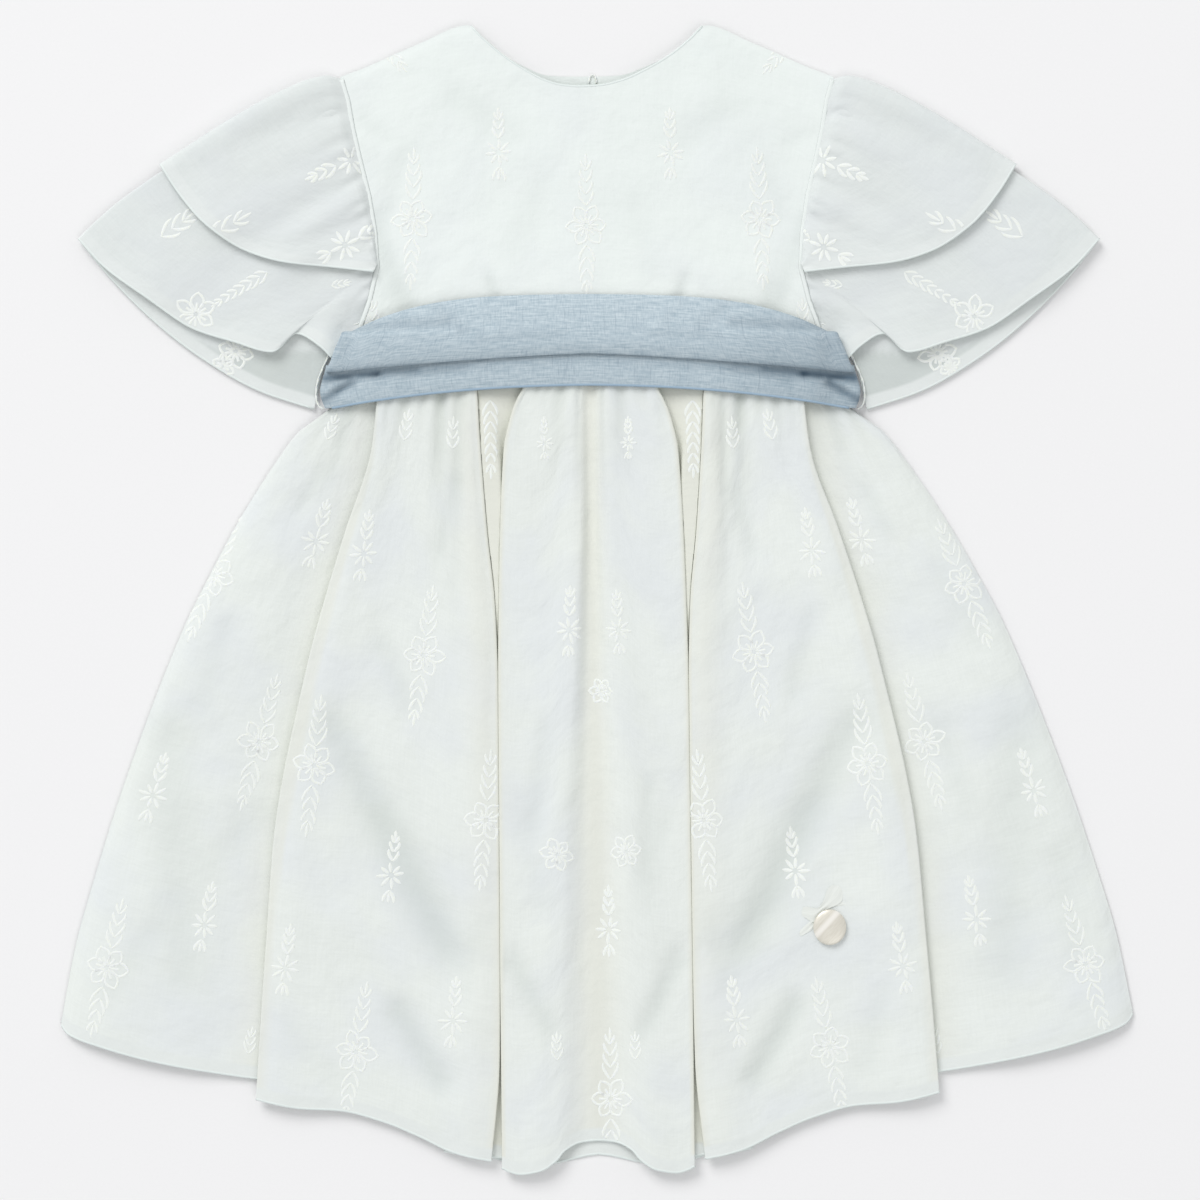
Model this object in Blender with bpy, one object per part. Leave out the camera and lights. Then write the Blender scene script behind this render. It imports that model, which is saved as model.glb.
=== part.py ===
"""A small child's short-sleeved dress laid flat on its back.

The garment is bilaterally symmetric: +Z points out of its front, +Y towards the neck and
+X to the right of someone who looks at the front. Sizes are in millimetres until the
meshes are made. The tables give the right half and each piece is mirrored about X = 0.
"""
import math
from collections import namedtuple

import bpy

MM = 0.001
WALL = 1.2
SHEER_WALL = 1.0
GAP = 0.3
HALF = WALL / 2

# Heights of the middle of the cloth above the surface that the dress lies on
BACK_LEVEL = HALF
FRONT_LEVEL = BACK_LEVEL + WALL + GAP
LAYER_STEP = 2.3

# The stretch of the back that is lifted over the sash, and how it fades out along Y
SASH_LIFT = WALL + GAP
LIFT_LOW = 48.0
LIFT_HIGH = 176.0
LIFT_FADE = 38.0

# The dress leans by this much per millimetre, and its skirt is swung round by as much.
# The middle is where the centre of its box then falls.
ASKEW = 0.0105
SWING_FROM = -20.0
SWING_OVER = 120.0
MIDDLE_X = 2.03
MIDDLE_Y = 0.21

# The waist seam falls away from the centre to the sides
WAIST_CENTRE = 116.0
WAIST_DROP = 12.0
WAIST_HALF = 119.0


def clamp(value):
    return min(max(value, 0.0), 1.0)


def ease(value):
    share = clamp(value)
    return share * share * (3.0 - 2.0 * share)


def mix(start, end, share):
    return start + (end - start) * share


def bump(offset, half_width):
    """A soft rounded ridge of height 1 at offset 0."""
    return math.exp(-(offset / half_width) ** 2)


def read(rows, key, column, place):
    """One column of a table at a place along its key column, eased through the rows."""
    keys = [getattr(row, key) for row in rows]
    values = [getattr(row, column) for row in rows]
    last = len(keys) - 1
    place = min(max(place, keys[0]), keys[last])
    first = 0
    while first < last - 1 and place > keys[first + 1]:
        first += 1
    steps = [keys[i + 1] - keys[i] for i in range(last)]
    rises = [(values[i + 1] - values[i]) / steps[i] for i in range(last)]

    def slope(i):
        if i == 0:
            return rises[0]
        if i == last:
            return rises[last - 1]
        if rises[i - 1] * rises[i] <= 0.0:
            return 0.0
        return 2.0 * rises[i - 1] * rises[i] / (rises[i - 1] + rises[i])

    step = steps[first]
    t = (place - keys[first]) / step
    start = (2 * t ** 3 - 3 * t ** 2 + 1) * values[first] + (t ** 3 - 2 * t ** 2 + t) * step * slope(first)
    end = (3 * t ** 2 - 2 * t ** 3) * values[first + 1] + (t ** 3 - t ** 2) * step * slope(first + 1)
    return start + end


def waist(x):
    return WAIST_CENTRE - WAIST_DROP * (x / WAIST_HALF) ** 2


def lift(y):
    """How far the cloth is raised where the back stretch of the sash runs beneath it."""
    return SASH_LIFT * (ease((y - LIFT_LOW) / LIFT_FADE) - ease((y - LIFT_HIGH + LIFT_FADE) / LIFT_FADE))


def laid(point):
    """Where a place of the straight garment lands, with the dress laid down a little askew."""
    x, y, z = point
    swung = 1.0 - ease((y - SWING_FROM) / SWING_OVER)
    swing = ASKEW * (x * swung - abs(x) * (1.0 - swung))
    return (x - ASKEW * y - MIDDLE_X, y + swing - MIDDLE_Y, z)


def mirrored(points):
    return [(-x, y, z) for x, y, z in points]


def material(name, colour, roughness, metallic=0.0):
    surface = bpy.data.materials.new(name)
    surface.use_nodes = True
    shader = surface.node_tree.nodes["Principled BSDF"]
    shader.inputs["Base Color"].default_value = (*colour, 1.0)
    shader.inputs["Roughness"].default_value = roughness
    shader.inputs["Metallic"].default_value = metallic
    return surface


def place_mesh(name, verts, faces, surface):
    mesh = bpy.data.meshes.new(name)
    mesh.from_pydata([tuple(value * MM for value in laid(point)) for point in verts], [], faces)
    mesh.materials.append(surface)
    mesh.polygons.foreach_set("use_smooth", [True] * len(mesh.polygons))
    piece = bpy.data.objects.new(name, mesh)
    bpy.context.collection.objects.link(piece)
    return piece


def cloth(name, rows, thickness, surface, ring=False):
    """A wall of even thickness on a grid of points that lie in the middle of the cloth."""
    count = len(rows[0])
    verts = [point for row in rows for point in row]
    faces = []
    for r in range(len(rows) - 1):
        for c in range(count if ring else count - 1):
            here = r * count + c
            beside = r * count + (c + 1) % count
            faces.append((here, beside, beside + count, here + count))
    piece = place_mesh(name, verts, faces, surface)
    solid = piece.modifiers.new("cloth", "SOLIDIFY")
    solid.thickness = thickness * MM
    solid.offset = 0.0
    return piece


def turn(edge, start, end, outward, wall, steps=4):
    """Points of a hairpin turn whose outer face stands at x = edge, from one height to another."""
    radius = abs(start - end) / 2
    centre = edge - outward * (radius + wall / 2)
    points = []
    for i in range(steps + 1):
        angle = math.pi * i / steps
        height = mix(start, end, (1.0 - math.cos(angle)) / 2)
        points.append((centre + outward * radius * math.sin(angle), height))
    return points


# Skirt front: where its fold lines run, by share of the way from the waist to the hem.
# The tucks are how far each fold reaches under the panel beside it, the roll is how
# high a folded edge stands above the layer that returns beneath it.
SkirtRow = namedtuple(
    "SkirtRow", "down valley centre pleat fold side centre_tuck pleat_tuck fold_tuck roll")
SKIRT_ROWS = [
    SkirtRow(0.000, 1.4, 28.0, 53.0, 97.0, 118.7, 7.0, 6.0, 6.0, 2.3),
    SkirtRow(0.045, 1.4, 31.0, 52.0, 98.3, 118.8, 8.0, 7.0, 7.0, 2.5),
    SkirtRow(0.062, 1.5, 34.4, 51.6, 98.8, 124.2, 9.0, 7.5, 8.0, 2.7),
    SkirtRow(0.085, 1.7, 37.3, 51.3, 99.6, 134.0, 10.0, 8.0, 9.0, 3.0),
    SkirtRow(0.120, 2.2, 40.1, 51.0, 101.5, 142.3, 12.0, 10.0, 11.0, 3.4),
    SkirtRow(0.220, 3.9, 42.0, 50.5, 113.0, 161.8, 16.0, 14.0, 15.0, 4.0),
    SkirtRow(0.400, 7.1, 43.1, 46.6, 131.0, 189.8, 20.0, 18.0, 20.0, 4.4),
    SkirtRow(0.640, 12.0, 43.4, 45.2, 147.6, 217.4, 21.0, 21.0, 23.0, 4.5),
    SkirtRow(0.880, 14.3, 44.0, 45.9, 154.3, 239.5, 21.0, 22.0, 25.0, 4.5),
    SkirtRow(1.000, 15.2, 44.4, 49.4, 157.2, 246.6, 21.0, 22.0, 25.0, 4.5),
]
PANEL_SHARES = [0.06, 0.13, 0.21, 0.3, 0.4, 0.51, 0.63, 0.75, 0.86, 0.95]
SKIRT_DOWN = [0.0, 0.025, 0.045, 0.062, 0.085, 0.12, 0.19, 0.29, 0.41, 0.55, 0.7, 0.85, 1.0]

# The hem of each stretch of the skirt front
HemPoint = namedtuple("HemPoint", "x y")
CENTRE_HEM = [
    HemPoint(0.0, -248.7), HemPoint(8.4, -249.5), HemPoint(15.8, -253.1), HemPoint(19.5, -257.5),
    HemPoint(27.0, -262.2), HemPoint(36.0, -263.6), HemPoint(44.4, -261.1),
]
UNDER_HEM = [HemPoint(20.0, -258.0), HemPoint(47.0, -256.0), HemPoint(75.0, -248.0)]
PANEL_HEM = [
    HemPoint(47.0, -257.4), HemPoint(54.4, -256.4), HemPoint(67.3, -253.0), HemPoint(81.9, -246.0),
    HemPoint(100.3, -238.4), HemPoint(118.6, -233.6), HemPoint(137.0, -232.3), HemPoint(157.2, -228.1),
]
SIDE_HEM = [
    HemPoint(130.0, -221.5), HemPoint(157.1, -218.6), HemPoint(182.8, -214.5), HemPoint(205.8, -209.7),
    HemPoint(228.7, -203.0), HemPoint(243.3, -197.2), HemPoint(246.6, -193.0),
]
BACK_HEM = [
    HemPoint(0.0, -255.1), HemPoint(8.4, -256.4), HemPoint(17.7, -258.6), HemPoint(30.0, -260.2),
    HemPoint(44.0, -257.6), HemPoint(60.0, -251.5), HemPoint(74.0, -246.5), HemPoint(99.0, -236.5),
    HemPoint(124.0, -230.5), HemPoint(148.0, -221.5), HemPoint(173.0, -214.5), HemPoint(198.0, -209.5),
    HemPoint(222.0, -203.5), HemPoint(246.0, -191.5),
]

# Where the two turns of each folded edge end at the hem, the edge itself and the tuck
EDGE_HEM = {"centre": -261.1, "pleat": -257.3, "fold": -228.1}
TUCK_HEM = {"centre": -259.0, "pleat": -253.0, "fold": -224.0}

# Depth of the valley down the middle, height of the ridges on both its sides, and rise
# of the cloth that puffs up in the opening of the pleats below the waist
VALLEY_TOP_DEPTH = 2.0
VALLEY_DEPTH = 6.2
RIDGE = 0.9
PLEAT_PUFF = 3.4

# Places of the mesh's lines across the centre panel, the opening and the side panel
CENTRE_SHARES = [0.0, 0.1, 0.2, 0.3, 0.4, 0.52, 0.66, 0.83, 1.0]
UNDER_SHARES = [0.15, 0.33, 0.51, 0.69, 0.87]
SIDE_SHARES = [0.14, 0.27, 0.38, 0.49, 0.6, 0.71, 0.82, 0.92, 1.0]

# Rise of the panel between its two folds, and of the side panel, at full puff
Crown = namedtuple("Crown", "share rise")
PANEL_CROWN = [
    Crown(0.0, 0.0), Crown(0.07, 0.8), Crown(0.2, -1.2), Crown(0.4, -3.4), Crown(0.6, -3.4),
    Crown(0.78, -1.2), Crown(0.92, 0.6), Crown(1.0, 0.0),
]
SIDE_CROWN = [
    Crown(0.0, 0.0), Crown(0.15, 0.6), Crown(0.4, 2.6), Crown(0.7, 3.2), Crown(0.9, 2.2), Crown(1.0, 0.0),
]

# Gathers let into the waist seam: X at the seam, X where each one ends, its length and depth
Gather = namedtuple("Gather", "x end_x length depth half_width")
GATHERS = [
    Gather(12.5, 17.0, 45.0, 0.9, 3.5),
    Gather(67.0, 70.0, 60.0, 1.5, 4.0),
    Gather(80.0, 88.0, 42.0, 0.9, 3.5),
    Gather(106.0, 124.0, 48.0, 0.8, 3.5),
]

# Soft diagonal creases that were pressed into the cloth
Crease = namedtuple("Crease", "x y end_x end_y depth half_width")
SKIRT_CREASES = [
    Crease(118.0, -60.0, 66.0, -161.0, 1.4, 12.0),
    Crease(91.0, -189.0, 70.0, -221.0, 1.0, 9.0),
    Crease(40.0, -166.0, 22.0, -198.0, 0.8, 7.0),
    Crease(196.0, -60.0, 188.0, -170.0, 1.0, 12.0),
]
BODICE_CREASES = [Crease(99.0, 176.0, 85.0, 134.0, 1.2, 6.0)]


def pressed(creases, x, y):
    """Depth of all creases at a place, each fading at its ends."""
    depth = 0.0
    for crease in creases:
        run_x = crease.end_x - crease.x
        run_y = crease.end_y - crease.y
        length = math.hypot(run_x, run_y)
        along = ((abs(x) - crease.x) * run_x + (y - crease.y) * run_y) / length
        across = abs((abs(x) - crease.x) * run_y - (y - crease.y) * run_x) / length
        beyond = max(-along, along - length, 0.0)
        depth += crease.depth * bump(math.hypot(across, beyond), crease.half_width)
    return depth


def gathered(x, y):
    """Depth of the gathers at a place below the waist seam."""
    depth = 0.0
    for gather in GATHERS:
        share = (waist(gather.x) - y) / gather.length
        middle = mix(gather.x, gather.end_x, clamp(share))
        widened = gather.half_width * (1.0 + share)
        depth += gather.depth * (1.0 - ease(share)) * bump(x - middle, widened)
    return depth


def skirt_lines(down):
    return {name: read(SKIRT_ROWS, "down", name, down) for name in SkirtRow._fields}


def centre_leg(line, down):
    """From the middle of the skirt over its ridge to the centre panel's folded edge."""
    points = []
    edge_x = line["centre"] - line["roll"] / 2 - HALF
    top_edge = SKIRT_ROWS[0].centre - SKIRT_ROWS[0].roll / 2 - HALF
    hem_edge = SKIRT_ROWS[-1].centre - SKIRT_ROWS[-1].roll / 2 - HALF
    depth = mix(VALLEY_TOP_DEPTH, VALLEY_DEPTH, ease(down / 0.3))
    width = max(line["valley"], 4.0)
    for share in CENTRE_SHARES:
        x = edge_x * share
        y = mix(waist(top_edge * share), read(CENTRE_HEM, "x", "y", hem_edge * share), down)
        top = FRONT_LEVEL + LAYER_STEP + line["roll"] + lift(y)
        climb = ease((x - 0.3 * width) / (0.95 * width))
        ridge = RIDGE * bump(x - 1.7 * width, 8.0) * ease(down / 0.2)
        sink = gathered(x, y) + pressed(SKIRT_CREASES, x, y)
        points.append((x, y, top + ridge - depth * (1.0 - climb) - sink * climb))
    return points


def tucked(line, down, edge, tuck, outward):
    """A folded edge and the cloth's two turns beneath it, from the top layer to the lowest."""
    x = line[edge]
    top_x = getattr(SKIRT_ROWS[0], edge)
    top_tuck = getattr(SKIRT_ROWS[0], edge + "_tuck")
    y = mix(waist(top_x) - GAP, EDGE_HEM[edge], down)
    y_low = mix(waist(top_x - outward * top_tuck) - GAP, TUCK_HEM[edge], down)
    low = FRONT_LEVEL + lift(y)
    middle = low + LAYER_STEP
    top = middle + line["roll"]
    points = [(px, y, pz) for px, pz in turn(x, top, middle, outward, WALL)]
    points += [(px, y_low, pz) for px, pz in turn(x - outward * tuck, middle, low, -outward, WALL, 3)]
    return points


def under_leg(line, down):
    """The cloth that shows in the opening between the two folded edges below the waist."""
    start = line["centre"] - line["centre_tuck"]
    end = line["pleat"] + line["pleat_tuck"]
    top_start = SKIRT_ROWS[0].centre - SKIRT_ROWS[0].centre_tuck
    top_end = SKIRT_ROWS[0].pleat + SKIRT_ROWS[0].pleat_tuck
    hem_start = SKIRT_ROWS[-1].centre - SKIRT_ROWS[-1].centre_tuck
    hem_end = SKIRT_ROWS[-1].pleat + SKIRT_ROWS[-1].pleat_tuck
    points = []
    for share in UNDER_SHARES:
        x = mix(start, end, share)
        hem = read(UNDER_HEM, "x", "y", mix(hem_start, hem_end, share))
        y = mix(waist(mix(top_start, top_end, share)), hem, down)
        room = max(line["pleat"] - line["centre"] - 3.0, 0.1)
        across = clamp((x - line["centre"] - 1.5) / room)
        hump = PLEAT_PUFF * (1.0 - ease(down / 0.3)) * math.sin(math.pi * across) ** 2
        points.append((x, y, FRONT_LEVEL + lift(y) + hump))
    return points


def panel_point(across, down):
    """A place on the panel between the pleat edge and the side fold."""
    line = skirt_lines(down)
    inset = line["roll"] / 2 + HALF
    hem_inset = SKIRT_ROWS[-1].roll / 2 + HALF
    x = mix(line["pleat"] + inset, line["fold"] - inset, across)
    top_x = mix(SKIRT_ROWS[0].pleat, SKIRT_ROWS[0].fold, across)
    hem_x = mix(SKIRT_ROWS[-1].pleat + hem_inset, SKIRT_ROWS[-1].fold - hem_inset, across)
    y = mix(waist(top_x), read(PANEL_HEM, "x", "y", hem_x), down)
    top = FRONT_LEVEL + LAYER_STEP + line["roll"] + lift(y)
    crown = read(PANEL_CROWN, "share", "rise", across) * mix(0.6, 1.0, ease(down / 0.3))
    sink = gathered(x, y) + pressed(SKIRT_CREASES, x, y)
    return (x, y, top + crown - sink * ease(min(across, 1.0 - across) / 0.1))


def side_leg(line, down):
    """The outer panel, from beneath the side fold to the side seam."""
    start = line["fold"] - line["fold_tuck"]
    top_start = SKIRT_ROWS[0].fold - SKIRT_ROWS[0].fold_tuck
    hem_start = SKIRT_ROWS[-1].fold - SKIRT_ROWS[-1].fold_tuck
    points = []
    for share in SIDE_SHARES:
        x = mix(start, line["side"], share)
        hem_x = mix(hem_start, SKIRT_ROWS[-1].side, share)
        top_y = waist(mix(top_start, SKIRT_ROWS[0].side, share))
        y = mix(top_y, read(SIDE_HEM, "x", "y", hem_x), down)
        across = clamp((x - line["fold"]) / (line["side"] - line["fold"]))
        crown = read(SIDE_CROWN, "share", "rise", across) * mix(0.25, 1.0, ease(down / 0.3))
        sink = (gathered(x, y) + pressed(SKIRT_CREASES, x, y)) * ease(across / 0.2)
        sink *= ease((1.0 - across) / 0.2)
        points.append((x, y, FRONT_LEVEL + lift(y) + max(crown - sink, 0.0)))
    return points


def skirt_front_row(down):
    line = skirt_lines(down)
    half = centre_leg(line, down)[:-1]
    half += tucked(line, down, "centre", line["centre_tuck"], 1)
    half += under_leg(line, down)
    half += reversed(tucked(line, down, "pleat", line["pleat_tuck"], -1))
    half += [panel_point(share, down) for share in PANEL_SHARES]
    half += tucked(line, down, "fold", line["fold_tuck"], 1)
    half += side_leg(line, down)
    return list(reversed(mirrored(half[1:]))) + half


BACK_COLUMNS = 10


def skirt_back_row(down):
    side = read(SKIRT_ROWS, "down", "side", down) - mix(1.9, 0.6, ease((down - 0.045) / 0.03))
    row = []
    for i in range(-BACK_COLUMNS, BACK_COLUMNS + 1):
        share = i / BACK_COLUMNS
        x = side * share
        hem = read(BACK_HEM, "x", "y", abs(share) * BACK_HEM[-1].x)
        y = mix(waist(WAIST_HALF * share), hem, down)
        row.append((x, y, BACK_LEVEL + lift(y)))
    return row


# Bodice: half width at each height, and the necklines of its front and back
Side = namedtuple("Side", "y x")
BODICE_SIDE = [
    Side(104.0, 118.6), Side(112.0, 115.4), Side(118.0, 111.0), Side(127.4, 104.9), Side(143.4, 100.0),
    Side(152.6, 97.7), Side(173.0, 98.9), Side(194.0, 102.8), Side(215.0, 108.0), Side(226.0, 109.4),
    Side(241.7, 113.6),
]
Neck = namedtuple("Neck", "x front back")
NECK = [
    Neck(0.0, 236.0, 239.9), Neck(5.6, 237.2, 240.0), Neck(17.0, 240.6, 241.2), Neck(28.5, 245.7, 246.0),
    Neck(39.9, 252.3, 252.4), Neck(49.0, 259.8, 259.8), Neck(54.5, 264.9, 264.9), Neck(76.7, 256.8, 256.8),
    Neck(102.1, 246.0, 246.0), Neck(113.6, 241.7, 241.7),
]
BODICE_CROWN = 2.2
ARMHOLE_RISE = 0.5
BACK_INSET = 1.0
BODICE_UP = [0.0, 0.07, 0.15, 0.25, 0.36, 0.48, 0.6, 0.72, 0.83, 0.92, 1.0]


def bodice_point(across, up, face):
    """A place on the front or back of the bodice, by share of its half width and height."""
    bottom_x = BODICE_SIDE[0].x * across
    top_x = NECK[-1].x * across
    bottom_y = waist(bottom_x) + GAP
    top_y = read(NECK, "x", face, top_x)
    y = mix(bottom_y, top_y, up)
    straight = mix(BODICE_SIDE[0].x, NECK[-1].x, up)
    edge = read(BODICE_SIDE, "y", "x", mix(BODICE_SIDE[0].y + GAP, BODICE_SIDE[-1].y, up)) - straight
    x = mix(bottom_x, top_x, up) + edge * across ** 2.5
    if face == "back":
        return (x - BACK_INSET * across ** 3 * (1.0 - ease(up / 0.25)), y, BACK_LEVEL + lift(y))
    crown = BODICE_CROWN * (1.0 - across ** 2) * mix(1.0, 0.75, ease((up - 0.6) / 0.4))
    sink = pressed(BODICE_CREASES, x, y) * ease((1.0 - across) / 0.1)
    edge_rise = ARMHOLE_RISE * (1.0 - ease((1.0 - across) / 0.12))
    return (x, y, FRONT_LEVEL + lift(y) + max(crown - sink, 0.0) + edge_rise)


def armhole_x(y):
    """X of the bodice's side edge at a height, along the straight runs between its rows."""
    edge = [bodice_point(1.0, up, "front") for up in BODICE_UP]
    for low, high in zip(edge, edge[1:]):
        if y <= high[1]:
            return mix(low[0], high[0], (y - low[1]) / (high[1] - low[1]))
    return edge[-1][0]


ACROSS = [0.0, 0.07, 0.14, 0.22, 0.3, 0.39, 0.48, 0.58, 0.7, 0.8, 0.88, 0.94, 1.0]


def bodice_front_rows():
    rows = []
    for up in BODICE_UP:
        half = [bodice_point(across, up, "front") for across in ACROSS]
        rows.append(list(reversed(mirrored(half[1:]))) + half)
    return rows


def bodice_back_rows():
    rows = []
    for up in BODICE_UP:
        half = [bodice_point(across, up, "back") for across in ACROSS]
        half[0] = (GAP / 2, half[0][1], half[0][2])
        rows.append(half)
    return rows


# Flutter sleeves: each is one piece folded along its top edge. A row gives, by share from
# the fold to the underarm, where it leaves the armhole, where its hem lies, and how
# far a ruffle wave lifts the hem.
Flutter = namedtuple("Flutter", "share arm_y hem_x hem_y wave")
UPPER_FRONT = [
    Flutter(0.00, 241.0, 196.8, 202.8, 0.0),
    Flutter(0.14, 228.0, 188.5, 189.5, 0.8),
    Flutter(0.30, 213.0, 175.5, 174.2, 2.2),
    Flutter(0.50, 196.0, 156.5, 161.8, 0.4),
    Flutter(0.68, 182.0, 139.0, 156.6, 1.8),
    Flutter(0.84, 168.0, 119.0, 154.4, 0.3),
    Flutter(1.00, 155.5, 98.8, 151.9, 1.2),
]
UPPER_BACK = [
    Flutter(0.00, 241.0, 196.8, 202.8, 0.0),
    Flutter(0.30, 213.0, 172.0, 171.0, 0.0),
    Flutter(0.60, 190.0, 143.0, 156.0, 0.0),
    Flutter(1.00, 155.5, 99.0, 150.5, 0.0),
]
LOWER_FRONT = [
    Flutter(0.00, 238.4, 234.9, 168.8, 0.0),
    Flutter(0.12, 226.0, 223.1, 155.8, 0.6),
    Flutter(0.26, 210.0, 203.0, 140.8, 2.0),
    Flutter(0.40, 192.0, 182.0, 126.6, 0.4),
    Flutter(0.53, 175.0, 164.0, 120.6, 1.6),
    Flutter(0.66, 160.0, 146.4, 115.6, 2.8),
    Flutter(0.77, 150.0, 135.1, 124.0, 0.0),
    Flutter(0.89, 140.0, 125.5, 118.8, 2.4),
    Flutter(1.00, 130.0, 119.8, 113.4, 1.4),
]
LOWER_BACK = [
    Flutter(0.00, 238.4, 234.9, 168.8, 0.0),
    Flutter(0.20, 222.0, 219.5, 149.8, 0.0),
    Flutter(0.40, 200.0, 197.6, 128.0, 0.0),
    Flutter(0.60, 180.0, 176.5, 111.8, 0.0),
    Flutter(0.80, 158.0, 152.5, 98.0, 0.0),
    Flutter(1.00, 130.0, 127.2, 89.2, 0.0),
]

# How far the folded top edge bows out from the straight line between its ends
Bow = namedtuple("Bow", "share upper lower")
FOLD_BOW = [
    Bow(0.00, 0.0, 0.0), Bow(0.10, 5.2, 5.2), Bow(0.22, 7.1, 8.6), Bow(0.34, 7.4, 9.8), Bow(0.53, 6.3, 9.6),
    Bow(0.68, 4.7, 8.6), Bow(0.84, 2.3, 6.3), Bow(0.93, 0.9, 3.4), Bow(1.00, 0.0, 0.0),
]

# Heights of a sleeve's two halves at the armhole and beyond, and how its end by the
# waist bows out round the sash, along a direction square to that end
Tier = namedtuple("Tier", "arm_top top bottom front_bow back_bow")
TIERS = {
    "upper": Tier(5.1, 6.5, 0.5, 0.0, 0.0),
    "lower": Tier(3.8, 4.2, 1.8, 3.4, 6.8),
}
BOW_ALONG_X = 0.87
BOW_ALONG_Y = 0.49
SLEEVE_OUT = [0.0, 0.1, 0.24, 0.4, 0.56, 0.72, 0.87, 1.0]
FRONT_SHARES = [1.0, 0.94, 0.88, 0.825, 0.77, 0.715, 0.66, 0.54, 0.4, 0.26, 0.12]
BACK_SHARES = [0.14, 0.34, 0.56, 0.78, 1.0]
TURN_STEPS = 4


def flutter_point(rows, tier, name, share, out, top):
    """A place on one half of a flutter sleeve."""
    arm_y = read(rows, "share", "arm_y", share)
    arm_x = armhole_x(arm_y) + GAP
    x = mix(arm_x, read(rows, "share", "hem_x", share), out)
    y = mix(arm_y, read(rows, "share", "hem_y", share), out)
    y += read(FOLD_BOW, "share", name, out) * (1.0 - share) ** 2
    end_bow = (tier.front_bow if top else tier.back_bow) * share ** 6 * math.sin(math.pi * out ** 0.65)
    x += BOW_ALONG_X * end_bow
    y += BOW_ALONG_Y * end_bow
    if not top:
        return (x, y, tier.bottom)
    height = mix(tier.arm_top, tier.top, ease(out / 0.3))
    return (x, y, height + read(rows, "share", "wave", share) * ease((out - 0.5) / 0.5))


def flutter_rows(name, front, back):
    tier = TIERS[name]
    rows = []
    step = 0.01
    for out in SLEEVE_OUT:
        here = flutter_point(front, tier, name, 0.0, out, True)
        ahead = flutter_point(front, tier, name, 0.0, min(out + step, 1.0), True)
        behind = flutter_point(front, tier, name, 0.0, max(out - step, 0.0), True)
        length = math.hypot(ahead[0] - behind[0], ahead[1] - behind[1])
        normal = ((behind[1] - ahead[1]) / length, (ahead[0] - behind[0]) / length)
        radius = (here[2] - tier.bottom) / 2
        row = [flutter_point(front, tier, name, share, out, True) for share in FRONT_SHARES]
        for i in range(TURN_STEPS + 1):
            angle = math.pi * i / TURN_STEPS
            inset = radius * (math.sin(angle) - 1.0) - SHEER_WALL / 2
            height = mix(here[2], tier.bottom, (1.0 - math.cos(angle)) / 2)
            row.append((here[0] + normal[0] * inset, here[1] + normal[1] * inset, height))
        row += [flutter_point(back, tier, name, share, out, False) for share in BACK_SHARES]
        rows.append(row)
    return rows


# Sash: a row for each line across its width, from its upper edge to its lower one. It
# gives Y at the centre and side of the front, how that line bends, the X of its
# side turn, how far it stands up, and Y at the centre of the back.
Band = namedtuple("Band", "centre_y side_y bend side_x rise back_y")
SASH_BANDS = [
    Band(140.1, 124.2, 3.6, 112.6, 0.0, 128.0),
    Band(135.5, 123.9, 3.0, 113.2, 0.5, 125.0),
    Band(128.5, 123.4, 2.0, 114.0, 0.8, 121.5),
    Band(123.4, 122.2, 1.0, 114.9, 0.1, 118.0),
    Band(119.5, 115.6, 1.2, 117.4, 1.0, 114.0),
    Band(114.4, 107.0, 1.4, 120.9, 1.5, 109.0),
    Band(112.4, 104.6, 1.4, 122.0, 0.2, 106.0),
    Band(106.5, 97.4, 1.7, 124.2, 0.5, 100.0),
    Band(98.7, 89.3, 2.2, 122.0, 0.0, 93.0),
]
SASH_COLUMNS = [-1.0, -0.93, -0.86, -0.78, -0.68, -0.56, -0.42, -0.28, -0.14, 0.0,
                0.14, 0.28, 0.42, 0.56, 0.68, 0.78, 0.86, 0.93, 1.0]
SASH_SIDE_LEVEL = 6.9
SASH_BACK_COLUMNS = 7

# Where the sash comes down to its side level, where it climbs onto the skirt, and over
# how far it does either
SASH_SIDE_FROM = 101.0
SASH_CLIMB_FROM = 128.0
SASH_CLIMB_OVER = 12.0


def sash_level(x, y):
    """Height of the sash, clear above the bodice and the gathered top of the skirt."""
    over_bodice = FRONT_LEVEL + lift(y) + BODICE_CROWN + WALL + GAP
    over_skirt = FRONT_LEVEL + SASH_LIFT + LAYER_STEP + SKIRT_ROWS[2].roll + WALL + GAP
    inner = mix(over_bodice, over_skirt, ease((SASH_CLIMB_FROM - y) / SASH_CLIMB_OVER))
    return mix(inner, SASH_SIDE_LEVEL, ease((abs(x) - SASH_SIDE_FROM) / SASH_CLIMB_OVER))


def sash_rows():
    rows = []
    for band in SASH_BANDS:
        reach = band.side_x
        for _ in range(4):
            radius = (sash_level(reach, band.side_y) + band.rise - BACK_LEVEL) / 2
            reach = band.side_x - HALF - radius
        row = []
        for share in SASH_COLUMNS:
            x = reach * share
            y = mix(band.centre_y, band.side_y, abs(share) ** band.bend)
            row.append((x, y, sash_level(x, y) + band.rise))
        end_height = row[-1][2]
        side = turn(band.side_x, end_height, BACK_LEVEL, 1, WALL, 5)[1:-1]
        row += [(x, band.side_y, z) for x, z in side]
        for i in range(SASH_BACK_COLUMNS + 1):
            share = 1.0 - 2.0 * i / SASH_BACK_COLUMNS
            y = mix(band.back_y, band.side_y, share * share)
            row.append((reach * share, y, BACK_LEVEL))
        row += [(-x, band.side_y, z) for x, z in reversed(side)]
        rows.append(row)
    return rows


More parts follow.
